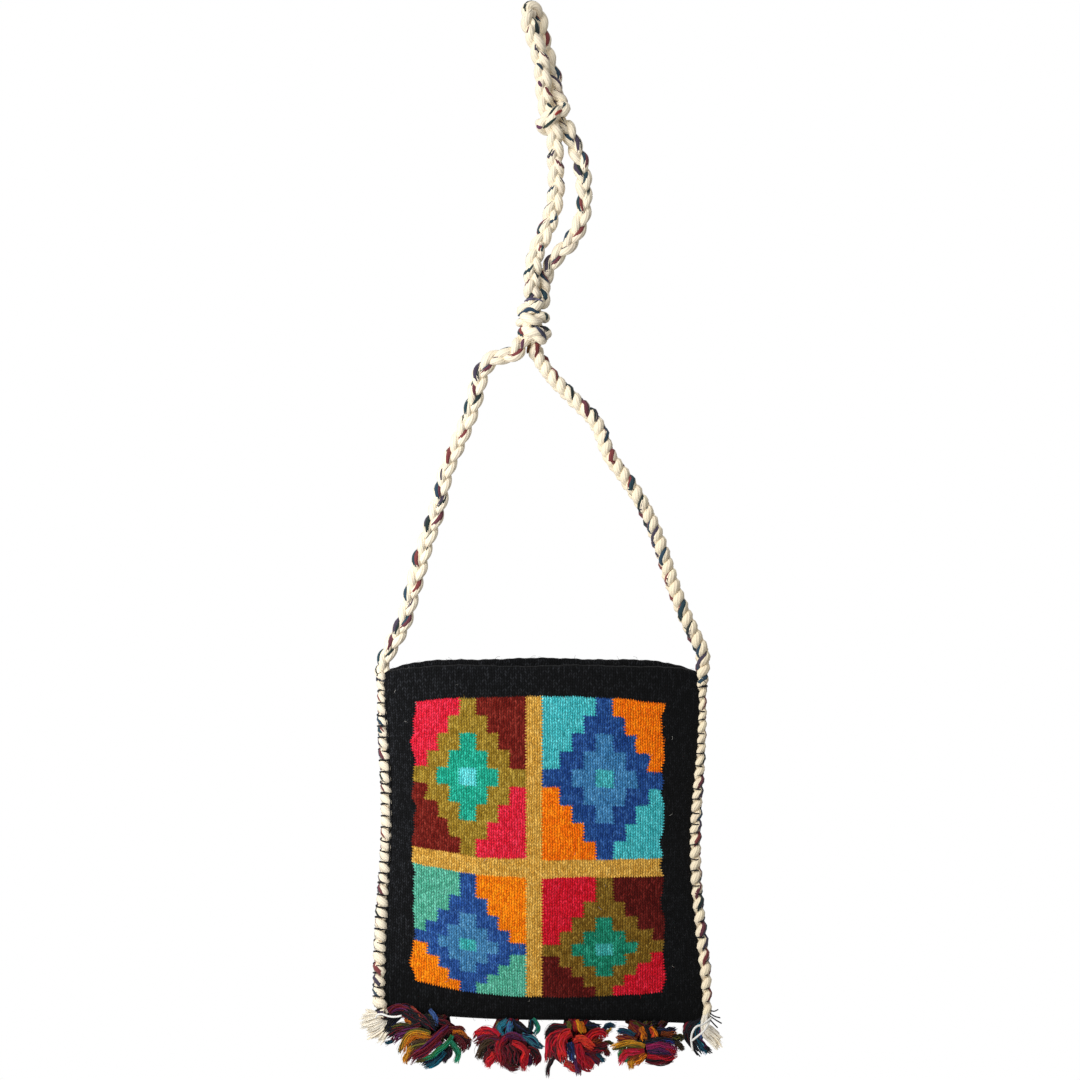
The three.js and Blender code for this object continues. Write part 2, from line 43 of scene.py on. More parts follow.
# Sizes of the cloth in millimetres, as in the part's source or close to it; side -1 is the front, 1 the back
PANEL_LEFT = -84.71
PANEL_RIGHT = 96.46
LEFT_CELL_WIDTH = 9.09
RIGHT_CELL_WIDTH = 9.74
UPPER_CELL_HEIGHT = 13.18
BAND_MIDDLE_X = 2.95
BAND_WIDTH = 11.7
BAND_FOOT = 105.56
BAND_HEAD = 118.66
FIELD_FOOT = 17.9
FIELD_HEAD = 237.28
CLOTH_HEIGHT = 258.48
SEAM_LEFT = -105.91
SEAM_RIGHT = 125.66
MIDDLE_X = 9.875
FRONT_LIP_Z = -474.3
BACK_LIP_RISE = 4
WALL = 3
BELLIES = {-1: 14, 1: 12}
BELLY_HEIGHT = 120
FOLD_RADIUS = 4.5
SEAM_ALLOWANCE = 7
SEAM_ROUND = 1.5
LEFT_SEAM = {"waist": 5.1, "waist_at": 0.55, "flare": 0}
RIGHT_SEAM = {"waist": 7.7, "waist_at": 0.47, "flare": 2.9}
LIP_BEND = 6
LEFT_LIP_DROP = 4.5
RIGHT_LIP_DROP = 6.5
LIFT_HEIGHTS = [0, FIELD_FOOT, (BAND_FOOT + BAND_HEAD) / 2, FIELD_HEAD, CLOTH_HEIGHT]
LEFT_LIFT = [7.3, 18.5, 15.2, -6, -7.3]
RIGHT_LIFT = [-2.9, 7.5, 1.5, -9.4, -13.1]

# How full and how uneven the cloth is, in millimetres where it is a length
FULLNESS_POWER = 2.6
FULLNESS_EASE = 0.7
SLOW_WAVE = {"depth": 0.7, "across": 19, "up": 27}
QUICK_WAVE = {"depth": 0.3, "across": 8.3, "lean": 31, "up": 11.7, "beat": 40}
WAVE_FADE_HEIGHT = 30
LIP_SLOW_WAVE = {"depth": 0.5, "length": 13}
LIP_QUICK_WAVE = {"depth": 0.35, "length": 1.9, "beat": 4.7}
LIP_WAVE_FOOT = 230
LIP_WAVE_RISE = 28
LIP_ROLL = 1.1

# Counts of points in the cloth's mesh
LEFT_BORDER_COLUMNS = 13
FIELD_COLUMNS = 91
RIGHT_BORDER_COLUMNS = 17
FOLD_ROWS = 6
OUTER_ROWS = 104
INNER_ROWS = 34

# Fields and edges of the woven pattern, in millimetres or cells
DIAMOND_STEPS = 4
INNER_STEPS = 2
LEFT_PANEL_AXIS = PANEL_LEFT + 4.5 * LEFT_CELL_WIDTH - 1.2
RIGHT_PANEL_AXIS = PANEL_RIGHT - 4.5 * RIGHT_CELL_WIDTH + 1.4
MIDDLE_COLUMN_SWELL = 0.17
LOWER_ROW_LEAN = 1.38
TOOTH_HEIGHT = 1.1
TOOTH_REACH = 1.7
NOTCH_WIDTH = 0.915
NOTCH_REACH = 1.4
COLUMN_WANDER = 2.4
ROW_WANDER = 2.0
SIDE_PULL = 12.0
ROW_SAG = 3.0

# Yarn of the cloth and the fibres on it: lengths in millimetres, densities in fibres for each square metre
RIB_SPACING = 1.83
WEFT_SPACING = 2.2
FIBRE_SPECK = 0.8
HEATHER = 0.4
DYE_BANDS = 0.45
FUZZ = {"density": 24000, "length": 3.2, "thickness": 0.07, "seed": 3}
LINT = {"density": 500, "length": 2.6, "thickness": 0.1, "seed": 9}

# Routes of the cord in millimetres, as in the part's source or close to it
SEAT_GAP = 0.3
STRAP_DIAMETER = 10.6
EDGE_CORD_DIAMETER = 9
LEFT_LEG = [
    (-106.6, 0, -470.9), (-99, 0, -455.9), (-92.3, 0, -442.1), (-84.7, 0, -415.6), (-77.4, 0, -388.8),
    (-67.5, -1, -359), (-61, -1, -332), (-48.9, -2, -303.4), (-42, -2, -284.9), (-36, -3, -261.8),
    (-30.2, -3, -253), (-21.9, -4, -248.3), (-14.2, -5, -248.5), (-8.6, -5.5, -243),
]
RIGHT_RUN = [
    (10.2, 4, -202), (11, 4, -190), (18.5, 3, -176), (30.7, 2, -163.2), (38.7, 1, -145),
    (39.6, 1, -126), (37.2, 2, -107.7), (30.8, 3.5, -90),
]
HANGING_LOOP = [
    (20.6, 4, -60), (18.4, 5, -46), (14.2, 5.8, -33), (10.4, 6.6, -21), (8.4, 7, -11),
    (7, 6, -2.5), (4.6, 3.4, 3.2), (1.4, 0, 5.3), (-0.6, -3.4, 3.4), (-1.6, -6, -2.5),
    (0.6, -7, -10), (4.8, -6.5, -23), (8.6, -5.5, -36), (9.8, -4.5, -50), (11, -4, -65),
]
LEFT_RUN_DOWN = [
    (15.5, -4, -77), (18, -3.5, -88.7), (18.6, -2, -107.7), (19.3, -1, -126), (18.2, 0, -135.5),
    (12.9, -1, -154), (4.4, -3, -172.7), (1.5, -3.8, -194), (1.5, -3.8, -202), (2, -1, -216), (2.5, 1, -230),
]
RIGHT_LEG_DOWN = [
    (3.6, 3.5, -243.2), (9.8, 4.5, -254.5), (17.4, 4, -264.7), (30.7, 3, -278.1), (48.5, 2, -297),
    (57.6, 1, -320), (69.8, 1, -337), (84.4, 0, -360.3), (95.3, 0, -387.1), (104.4, 0, -415.6),
    (114.6, 0, -440.7), (121.2, 0, -454.2), (126.3, 0, -465.9),
]
LOWER_WRAPS = [
    {"x": 4, "z": -232.9, "ring": 8.2, "tilt": 0.5},
    {"x": 1.5, "z": -222, "ring": 7.1, "tilt": 0.16},
    {"x": 2.2, "z": -212.1, "ring": 5.8, "tilt": 0.1},
]
UPPER_WRAP = {"x": 16.5, "z": -76.3, "ring": 8.8, "tilt": 0.38, "climb": 10}
EDGE_PRESS = 1.2
TOP_PRESS = 5
LEFT_FOOT = (-105.5, 0, -726.6)
EDGE_TOP_SHARE = 0.97
EDGE_SHARES = [0.015, 0.1, 0.2, 0.3, 0.4, 0.5, 0.6, 0.7, 0.8, 0.9, EDGE_TOP_SHARE, 1]
TOP_PRESS_FROM = 0.75
KNOT_STEP = math.pi / 6
LOWER_KNOT_CLIMB = 10.4

# The plait: three strands, each a bundle of cream yarn with a few dyed yarns wound on it
PATH_STEP = 1.4
FINE_STEPS = 24
SHORT_LINE_STEP = 0.6
TIGHTEST_BEND = 5
STRAND_RADIUS = 2.85
STRAND_SWING = 2.75
STRAND_DEPTH = 2.0
LEFT_REPEAT = 39
RIGHT_REPEAT = 24.5
RIGHT_FOOT_REPEAT = 29.4
LEFT_EDGE_REPEAT = 24.7
FOOT_PHASE = 0.86
DYED_YARN_RADIUS = 2.15
EDGE_SWELL = 0.15
RIGHT_LEG_MARKS = 205
EDGE_TURN = 1.45
RIGHT_LEG_TURN = -1.75
LARGEST_TURN = 0.09
LEVEL_ENOUGH = 0.35
PLAIT_SIDES = 10
KNOT_YARN_POINTS = 16
YARN_SHIFT = 7.3

# Locks of wool and of cut cord, in millimetres; a style's girths are shares of the lock's half width, and its
# root_shade is painted shade towards the strands' roots
TASSEL_DEPTH_SHARE = 0.66
LOCKS_IN_TASSEL = 40
# The inner locks' shades run darker than the front's as painted shade inside the tassel
INNER_WOOL = {"strands": 12, "girths": (0.15, 0.26), "shades": (0.4, 1.1), "root_shade": 0.45, "wave": 0.16}
FRONT_WOOL = {"strands": 36, "girths": (0.115, 0.21), "shades": (0.6, 1.6), "root_shade": 0.4, "wave": 0.15}
CUT_COTTON = {"strands": 12, "girths": (0.3, 0.42), "shades": (0.88, 1.1), "root_shade": 0.12, "wave": 0.1}
LOCK_POINTS = 10
LOCK_FACING = (0.12, 1, 0.2)
GOLDEN_TURN = 0.381966
SECOND_DYE_SHARE = 0.26
INNER_LOCK_WIDTHS = (2.2, 3.2)
STRAY_EVERY = 6
STRAY_SPREAD = {"away": 1.25, "fray": 2.0}
BUNDLED_SPREAD = {"away": 0.85, "fray": 0.6}
STRAY_RADII = (0.13, 0.2)
THINNEST_RADIUS = 0.28

# Camera, lights and floor in metres, with the lens and its sensor in millimetres
CAMERA_LENS = 85
CAMERA_SENSOR = 36
CAMERA_PLACE = (0.0073, -1.862, -0.3823)
WORLD_LIGHT = 0.32
LIGHTS = [
    {"name": "key_light", "place": (-0.52, -0.5, -0.33), "aim": (-0.02, 0, -0.5), "size": 0.45, "power": 5},
    {"name": "top_light", "place": (-0.3, -0.7, 0.45), "aim": (0, 0, -0.2), "size": 0.7, "power": 5},
    {"name": "back_light", "place": (0.5, 0.95, 0.2), "aim": (0, 0, -0.5), "size": 0.8, "power": 5},
]
FLOOR_RADIUS = 0.38
FLOOR_SIDES = 96
FLOOR_Z = -0.88


def dye(red, green, blue):
    """A colour written as 0 to 255 on a screen, as the linear colour that a shader takes."""
    def linear(value):
        share = value / 255
        return share / 12.92 if share <= 0.04045 else ((share + 0.055) / 1.055) ** 2.4
    return (linear(red), linear(green), linear(blue), 1)


def dyes(*colours):
    return [dye(*colour) for colour in colours]


# Dyes of the cloth; of a panel: falling corners, rising corners, diamond, inner diamond and middle
# The lower right panel is darker than the upper left, partly from its dye and partly as painted shade of the
# light falling off from the upper left
PANEL_DYES_WITH_PAINTED_FALLOFF = {
    "upper_left": dyes((224, 36, 60), (114, 30, 22), (156, 126, 42), (34, 168, 140), (100, 220, 222)),
    "upper_right": dyes((70, 184, 190), (250, 120, 8), (35, 74, 138), (64, 126, 176), (68, 176, 184)),
    "lower_left": dyes((88, 178, 150), (252, 132, 10), (42, 82, 150), (72, 133, 180), (66, 180, 180)),
    "lower_right": dyes((205, 22, 42), (86, 18, 14), (122, 92, 28), (26, 128, 100), (60, 165, 160)),
}
GOLD = dye(213, 161, 68)
# The border's black where the painted light is full, and the black of its painted shade towards the right and
# the fold
BORDER_BLACK = dye(9, 9, 11)
PAINTED_SHADE_BLACK = dye(2, 2, 2)
# Grey of the fibre flecks on the black border, which also serve as painted highlights on its rib crests
GREY_FLECK_AND_CREST_HIGHLIGHT = (0.066, 0.073, 0.084, 1)

# Dyes of the cord and the threads, with the threads' sizes and routes in millimetres
CREAM = dye(248, 236, 213)
WARM_CREAM = dye(246, 230, 199)
CORD_DYES = dyes((40, 64, 72), (124, 62, 62), (70, 62, 78), (38, 50, 50), (46, 68, 84), (104, 58, 66))
PALE_COTTON = dye(244, 236, 220)
BLACK_THREAD = dye(22, 22, 26)
WHITE_THREAD = dye(238, 236, 230)
NAVY_THREAD = dye(38, 44, 58)
LEFT_WHIP = {"thickness": 0.65, "turns": 1, "from_angle": 0}
# The right whip's black thread reaches past the front's middle, standing in also for painted shade in the
# waists between beads
RIGHT_WHIP = {"thickness": 0.5, "turns": 0.55, "from_angle": 2.8}
WHIP_LEAD = 0.3
RUNNING_THREAD = {"thickness": 0.5, "from_mark": 110, "to_mark": 12}
BINDING_MARKS = 3
LEFT_BINDING = {"turns": 3.5, "lead": 3.4, "slant": 1.5, "thickness": 0.45, "colour": NAVY_THREAD}
RIGHT_BINDING = {"turns": 2, "lead": 1.8, "slant": 0.5, "thickness": 0.45, "colour": BLACK_THREAD}
LOOSE_THREAD_POINTS = 24
WHITE_TIE = 0.75
BLACK_END = 0.5
WHITE_TIES = [
    [(-112, -7, -730), (-111, -9, -727.5), (-107.5, -11, -726.5), (-102, -12, -728), (-97, -13, -728),
     (-93, -14, -727)],
    [(132, -6, -730), (126, -9.5, -734), (120, -11.5, -736), (117, -12, -743), (118, -12, -753)],
    [(131, -6, -732), (127, -11, -738), (122, -12, -742), (117, -12, -746)],
]
BLACK_ENDS = [
    [(131, -4, -727), (134.5, -6, -729), (138.5, -6.5, -730)],
    [(131, -4, -729), (135, -6, -731.5), (139.5, -7, -734)],
    [(130, -5, -730), (133, -7, -733.5), (136.5, -8, -737)],
    [(131, -3, -725), (134, -5, -725.5), (137, -6, -724)],
]

# Dyed yarns that come up on the front of the knots and the loop: half width, dye and path across the picture
# plane (x, z)
KNOT_YARNS = [
    (1.2, dye(44, 60, 74), [(5, -36), (7.5, -38), (9, -40.5)]),
    (1.3, dye(98, 60, 84), [(6.5, -48.5), (7, -50.5), (8.5, -53)]),
    (1.2, dye(112, 60, 66), [(11, -53), (12.5, -55), (13.5, -57.5)]),
    (1.3, dye(42, 58, 60), [(12.5, -64.5), (14, -66.5), (16, -68)]),
    (1.5, dye(104, 64, 92), [(5, -80.5), (6.5, -82), (9, -82)]),
    (1.2, dye(44, 60, 56), [(9.5, -82.5), (14, -80), (19, -76)]),
    (1.3, dye(160, 58, 52), [(18, -74.5), (20.5, -72), (23.5, -70)]),
    (1.1, dye(92, 88, 112), [(-4, -208), (3, -207), (9.5, -209)]),
    (1.7, dye(44, 66, 86), [(-8.5, -218.5), (-3, -215.5), (1, -214.5), (7, -217.5)]),
    (1.4, dye(56, 64, 62), [(10.5, -217), (12, -219), (12, -222)]),
    (1.7, dye(64, 66, 84), [(1.5, -226), (5, -228.5), (9, -232), (10.5, -234), (11.5, -237)]),
    (1.4, dye(104, 66, 84), [(-4.5, -236), (-5.5, -239), (-6, -243)]),
    (1.3, dye(112, 76, 44), [(0, -239), (-1, -242), (-2, -246)]),
]

# Dyes of the wool
MAROON = dye(104, 20, 34)
CRIMSON = dye(192, 20, 42)
SCARLET = dye(224, 36, 40)
EMBER = dye(238, 66, 40)
SALMON = dye(206, 84, 62)
ROSE = dye(208, 34, 66)
MAGENTA = dye(162, 32, 92)
PLUM = dye(96, 36, 88)
MUSTARD = dye(226, 156, 30)
ORANGE = dye(240, 132, 20)
RUST = dye(142, 64, 18)
BROWN = dye(74, 54, 34)
OLIVE = dye(104, 98, 34)
LEAF = dye(52, 124, 66)
GREEN = dye(34, 150, 110)
SEA_BLUE = dye(58, 142, 164)
TEAL = dye(14, 118, 146)
DEEP_TEAL = dye(16, 72, 92)
STEEL = dye(66, 98, 160)
ROYAL = dye(48, 72, 164)
NAVY = dye(28, 36, 76)
# Near-black wool, also laid as locks in the dark gaps between locks and under the hems as painted shade
NIGHT = dye(24, 24, 30)

# Wool tassels: middle, half width, length below the fold and the dyes inside, then each lock of the front:
# half its width, its two dyes and its path across the picture plane (x, z), the ones behind first
TASSELS = [
    {"x": -70, "reach": 25, "drop": 35, "neck": 12, "seed": 11,
     "fill": [NIGHT, MAROON, BROWN, NIGHT, OLIVE], "locks": [
        (3.0, MAROON, NIGHT, [(-67, -731), (-62, -733), (-58, -736)]),
        (3.0, NIGHT, MAROON, [(-90, -728), (-97, -728), (-104, -730), (-109, -730)]),
        (3.0, NIGHT, MAROON, [(-92, -727), (-87, -731), (-82, -736)]),
        (4.0, NIGHT, MAROON, [(-91, -725), (-82, -729), (-74, -734), (-70, -738)]),
        (3.0, NIGHT, NAVY, [(-77, -728), (-71, -733), (-67, -737)]),
        (3.4, MAROON, PLUM, [(-103, -726), (-97, -723), (-90, -724), (-85, -730)]),
        (2.1, SALMON, MAROON, [(-87, -723), (-83, -726), (-80, -729), (-77, -733)]),
        (1.8, STEEL, NAVY, [(-73, -724), (-70, -727), (-68, -731), (-68, -735)]),
        (3.2, NIGHT, MAROON, [(-79, -734), (-88, -737), (-97, -740), (-105, -745)]),
        (3.0, NIGHT, NAVY, [(-94, -727), (-99, -731), (-102, -736), (-106, -742)]),
        (3.4, MAROON, PLUM, [(-80, -737), (-90, -740), (-97, -744), (-101, -749)]),
        (1.4, DEEP_TEAL, NIGHT, [(-99, -746), (-102, -748), (-106, -749)]),
        (2.2, OLIVE, NIGHT, [(-83, -735), (-91, -735), (-99, -737), (-106, -740)]),
        (1.5, ORANGE, SALMON, [(-91, -731), (-87, -734), (-82, -738)]),
        (4.6, BROWN, OLIVE, [(-71, -745), (-79, -747), (-84, -751), (-87, -756)]),
        (3.4, NIGHT, PLUM, [(-58, -749), (-60, -755), (-64, -761)]),
        (3.0, NIGHT, NAVY, [(-64, -747), (-67, -754), (-73, -759), (-79, -763)]),
        (3.2, TEAL, DEEP_TEAL, [(-62, -752), (-67, -758), (-71, -762), (-77, -765)]),
        (2.4, NIGHT, MAROON, [(-50, -742), (-45, -747), (-46, -753)]),
        (2.6, MAROON, NIGHT, [(-55, -741), (-50, -746), (-48, -751), (-50, -755)]),
        (2.6, MAROON, RUST, [(-59, -737), (-52, -737), (-47, -740)]),
        (2.0, ORANGE, RUST, [(-56, -739), (-50, -740), (-46, -744), (-42, -748)]),
        (2.2, OLIVE, MUSTARD, [(-72, -740), (-79, -738), (-86, -739), (-91, -745), (-94, -752), (-95, -757)]),
        (2.4, ORANGE, MUSTARD,
         [(-70, -744), (-77, -742), (-83, -741), (-87, -745), (-90, -751), (-90, -756)]),
        (2.6, MUSTARD, ORANGE, [(-85, -749), (-88, -754), (-90, -759), (-91, -764)]),
        (1.6, OLIVE, BROWN, [(-70, -755), (-77, -758), (-83, -761)]),
        (3.6, MAROON, PLUM, [(-59, -735), (-64, -739), (-70, -745), (-76, -751), (-82, -755), (-88, -763)]),
        (1.6, PLUM, CRIMSON, [(-64, -745), (-71, -750), (-77, -755), (-84, -759)]),
        (1.9, GREEN, LEAF, [(-56, -741), (-60, -747), (-67, -752), (-71, -756), (-78, -758)]),
        (2.3, GREEN, LEAF, [(-58, -745), (-53, -751), (-52, -756), (-54, -763)]),
    ]},
    {"x": -16, "reach": 24, "drop": 34, "neck": 7, "seed": 23,
     "fill": [MAROON, NIGHT, CRIMSON, MAROON, PLUM], "locks": [
        (6.0, NIGHT, MAROON, [(-15, -742), (-14, -750), (-12, -757), (-11, -765)]),
        (5.0, MAROON, NIGHT, [(-8, -741), (-6, -750), (-6, -757), (-7, -765)]),
        (4.0, NIGHT, MAROON, [(-19, -742), (-22, -750), (-21, -757), (-19, -764)]),
        (3.4, NIGHT, NAVY, [(-13, -732), (-7, -737), (-1, -739)]),
        (2.0, NIGHT, DEEP_TEAL, [(1, -732), (0, -738), (-3, -741)]),
        (1.4, OLIVE, BROWN, [(-22, -741), (-24, -737), (-22, -732)]),
        (2.6, SEA_BLUE, TEAL, [(-20, -742), (-22, -737), (-20, -734), (-16, -731)]),
        (2.6, STEEL, SEA_BLUE, [(-15, -742), (-15, -737), (-13, -732)]),
        (1.8, GREEN, SEA_BLUE, [(2, -731), (5, -735), (6, -738), (3, -742)]),
        (3.4, MAROON, NIGHT, [(-23, -746), (-28, -750), (-27, -756), (-24, -761)]),
        (3.8, BROWN, NIGHT, [(-26, -745), (-32, -748), (-35, -753), (-36, -757), (-37, -761)]),
        (3.2, MAROON, PLUM, [(-22, -744), (-30, -743), (-35, -745), (-40, -749)]),
        (3.4, CRIMSON, MAROON, [(-22, -742), (-28, -739), (-34, -739), (-39, -742), (-41, -746)]),
        (2.2, SCARLET, CRIMSON, [(-25, -740), (-30, -739), (-34, -740), (-38, -743)]),
        (3.6, SEA_BLUE, NAVY, [(-6, -742), (-1, -744), (4, -748), (9, -753)]),
        (1.8, TEAL, SEA_BLUE, [(-2, -743), (3, -746), (8, -750)]),
        (3.4, MAROON, NIGHT, [(-2, -751), (4, -755), (6, -759), (2, -764)]),
        (2.4, CRIMSON, MAROON, [(-1, -752), (4, -755), (4, -760), (1, -763)]),
        (2.0, PLUM, NIGHT, [(-1, -756), (0, -760), (-1, -765)]),
        (4.6, NIGHT, MAROON, [(-16, -747), (-13, -753), (-12, -757), (-11, -762)]),
        (3.0, MAROON, BROWN, [(-20, -757), (-17, -762), (-13, -765), (-7, -765)]),
        (1.6, RUST, SALMON, [(-20, -757), (-17, -760), (-15, -762)]),
        (2.4, MAROON, CRIMSON, [(-28, -751), (-30, -755), (-32, -760), (-33, -763)]),
        (3.0, SCARLET, CRIMSON, [(-26, -753), (-27, -757), (-30, -761), (-31, -766)]),
        (2.5, CRIMSON, MAROON, [(-22, -745), (-24, -751), (-22, -757), (-24, -762)]),
        (2.6, PLUM, MAROON, [(-20, -745), (-15, -741), (-8, -742), (-4, -746)]),
        (2.9, MAROON, CRIMSON, [(-17, -742), (-20, -746), (-21, -752), (-19, -757), (-20, -765)]),
        (2.6, CRIMSON, SCARLET, [(-2, -751), (-3, -757), (-5, -763), (-4, -769)]),
        (2.6, SCARLET, CRIMSON, [(-13, -746), (-9, -747), (-5, -750), (-3, -754), (-5, -759), (-6, -763)]),
    ]},
    {"x": 34.4, "reach": 23.5, "drop": 36, "neck": 8, "seed": 37,
     "fill": [CRIMSON, MAROON, NIGHT, CRIMSON], "locks": [
        (3.2, NIGHT, NAVY, [(41, -734), (46, -736), (52, -737)]),
        (2.0, DEEP_TEAL, NAVY, [(53, -739), (57, -736), (63, -737)]),
        (1.3, MUSTARD, OLIVE, [(53, -742), (57, -740), (60, -738)]),
        (3.0, NIGHT, MAROON, [(27, -737), (20, -736), (15, -738), (13, -743), (13, -748)]),
        (2.0, OLIVE, BROWN, [(28, -732), (28, -735), (29, -739)]),
        (1.5, CRIMSON, RUST, [(32, -732), (33, -735), (33, -739)]),
        (1.9, MUSTARD, ORANGE, [(34, -731), (36, -736), (38, -740)]),
        (1.4, ORANGE, RUST, [(37, -732), (39, -737), (40, -740)]),
        (1.4, OLIVE, NIGHT, [(54, -747), (58, -748), (61, -750)]),
        (3.8, MAROON, NIGHT, [(44, -749), (49, -750), (53, -750), (57, -752)]),
        (2.4, MAROON, RUST, [(53, -751), (56, -755), (57, -758)]),
        (3.2, MAROON, PLUM, [(40, -753), (45, -756), (48, -759), (51, -764)]),
        (3.6, MAROON, NIGHT, [(20, -748), (20, -753), (23, -758), (25, -762)]),
        (3.6, CRIMSON, MAROON, [(26, -739), (20, -741), (15, -745), (15, -750), (14, -755), (12, -763)]),
        (3.0, MAROON, CRIMSON, [(23, -743), (18, -747), (17, -753), (19, -758)]),
        (1.5, NIGHT, MAROON, [(19, -752), (18, -757), (15, -762), (13, -768), (13, -775)]),
        (2.4, MAROON, CRIMSON, [(38, -751), (45, -753), (49, -753), (54, -753)]),
        (2.0, DEEP_TEAL, TEAL, [(47, -754), (50, -757), (52, -759), (55, -761)]),
        (2.0, RUST, MAROON, [(42, -746), (48, -746), (54, -746)]),
        (3.8, CRIMSON, SCARLET, [(42, -744), (47, -740), (51, -740), (55, -745)]),
        (2.6, PLUM, MAROON, [(33, -758), (34, -763), (35, -767), (35, -771)]),
        (2.8, SCARLET, SALMON, [(25, -761), (29, -763), (31, -765), (34, -768)]),
        (2.4, CRIMSON, SALMON, [(28, -761), (30, -764), (30, -767)]),
        (4.4, CRIMSON, MAROON, [(34, -747), (36, -754), (39, -759), (41, -764), (46, -767)]),
        (3.2, CRIMSON, SCARLET, [(37, -755), (41, -759), (44, -763), (44, -766)]),
        (3.0, NAVY, ROYAL, [(29, -746), (30, -751), (30, -755), (30, -760)]),
        (1.7, ROYAL, STEEL, [(30, -749), (31, -753), (30, -760)]),
        (4.2, SCARLET, CRIMSON, [(30, -739), (25, -741), (23, -745), (23, -750), (24, -755), (24, -761)]),
        (1.8, EMBER, SCARLET, [(37, -742), (34, -744), (31, -746)]),
        (3.3, EMBER, SCARLET, [(33, -743), (38, -744), (42, -747), (47, -750)]),
    ]},
    {"x": 85, "reach": 25, "drop": 31, "neck": 15, "seed": 53,
     "fill": [MAROON, RUST, NIGHT, PLUM, OLIVE], "locks": [
        (5.0, NIGHT, MAROON, [(82, -744), (84, -749), (84, -754), (83, -759)]),
        (5.0, MAROON, NIGHT, [(91, -747), (94, -752), (96, -756), (95, -760)]),
        (4.0, NIGHT, RUST, [(79, -745), (76, -749), (72, -754), (72, -760)]),
        (3.2, NIGHT, BROWN, [(84, -735), (86, -740), (86, -746)]),
        (3.2, MAROON, RUST, [(72, -735), (77, -738), (79, -743)]),
        (3.0, DEEP_TEAL, NAVY, [(76, -742), (69, -739), (63, -740)]),
        (3.0, NIGHT, OLIVE, [(103, -744), (109, -744), (111, -747)]),
        (3.0, NIGHT, NAVY, [(92, -738), (99, -739), (107, -738)]),
        (2.6, RUST, BROWN, [(95, -740), (101, -741), (107, -742)]),
        (2.5, ORANGE, RUST, [(80, -736), (82, -740), (83, -746)]),
        (2.5, ORANGE, EMBER, [(87, -736), (90, -740), (91, -745)]),
        (2.8, RUST, MAROON, [(77, -746), (69, -744), (62, -745)]),
        (1.9, LEAF, NIGHT, [(69, -751), (66, -755), (65, -760)]),
        (2.4, BROWN, NIGHT, [(105, -747), (109, -750), (112, -754)]),
        (2.8, NIGHT, NAVY, [(84, -747), (91, -745), (97, -745), (103, -745)]),
        (2.4, NAVY, ROYAL, [(95, -746), (101, -747), (105, -748)]),
        (3.0, RUST, OLIVE, [(82, -754), (78, -756), (74, -757), (70, -759)]),
        (2.6, MUSTARD, ORANGE, [(75, -758), (73, -762), (74, -767)]),
        (1.5, LEAF, GREEN, [(72, -757), (71, -759), (69, -761)]),
        (2.8, ORANGE, RUST, [(84, -754), (81, -757), (78, -760), (75, -763)]),
        (3.0, ROSE, CRIMSON, [(83, -752), (76, -753), (70, -754), (67, -759), (66, -764)]),
        (2.9, MUSTARD, OLIVE, [(83, -749), (74, -747), (67, -748), (59, -752)]),
        (3.2, MAROON, NIGHT, [(84, -758), (92, -760), (99, -760), (105, -758)]),
        (2.8, CRIMSON, MAROON, [(85, -755), (93, -756), (99, -757), (107, -756)]),
        (2.6, PLUM, NAVY, [(85, -751), (92, -752), (99, -753), (106, -755)]),
        (2.2, CRIMSON, ROSE, [(98, -750), (103, -753), (107, -755)]),
        (2.4, MAGENTA, PLUM, [(84, -749), (91, -748), (97, -748), (103, -750), (107, -754)]),
    ]},
]

# The cut ends of the cord at the lower corners: half width, two dyes and path, the ones behind first
LEFT_TUFT = [(2.0, PALE_COTTON, CREAM, route) for route in (
    [(-109, -728), (-114, -728), (-120, -725)], [(-109, -728), (-116, -729), (-123, -730)],
    [(-107, -730), (-116, -732), (-125, -734)], [(-105, -731), (-114, -735), (-124, -738)],
    [(-104, -732), (-112, -738), (-121, -742)], [(-103, -733), (-110, -741), (-119, -746)],
    [(-103, -734), (-108, -744), (-114, -748)], [(-102, -735), (-106, -744), (-109, -750)])]
RIGHT_TUFT = [
    (3.0, MAROON, NIGHT, [(119, -733), (114, -738), (114, -741), (116, -745)]),
    (2.8, NIGHT, MAROON, [(118, -735), (114, -744), (119, -752), (124, -759)]),
    (2.8, NIGHT, NAVY, [(122, -736), (120, -744), (125, -751), (133, -756)]),
    (2.6, DEEP_TEAL, SEA_BLUE, [(121, -741), (123, -748), (126, -753), (129, -758)]),
    (1.7, PLUM, STEEL, [(122, -744), (126, -749), (129, -754)]),
    (1.5, STEEL, DEEP_TEAL, [(124, -751), (126, -754), (127, -758)]),
    (2.8, PALE_COTTON, CREAM, [(127, -736), (133, -741), (140, -747)]),
    (2.8, PALE_COTTON, CREAM, [(127, -739), (133, -745), (140, -752)]),
    (2.8, PALE_COTTON, CREAM, [(127, -741), (132, -747), (137, -754)]),
]


# Shapes of the cloth
def lift_at(lift, height):
    return np.interp(height, LIFT_HEIGHTS, lift)


def waist_at(seam, height):
    share = height / CLOTH_HEIGHT
    drawn_in = 0.5 * (1 + np.cos(2 * np.pi * (share - seam["waist_at"])))
    return seam["waist"] * drawn_in + seam["flare"] * share


def seam_x(side, height):
    if side < 0:
        return SEAM_LEFT + waist_at(LEFT_SEAM, height)
    return SEAM_RIGHT - waist_at(RIGHT_SEAM, height)


def shares_from_middle(x):
    """How far a place lies from the middle towards the left seam, and towards the right one."""
    from_left = np.clip((MIDDLE_X - x) / (MIDDLE_X - SEAM_LEFT), 0, 1)
    from_right = np.clip((x - MIDDLE_X) / (SEAM_RIGHT - MIDDLE_X), 0, 1)
    return from_left, from_right


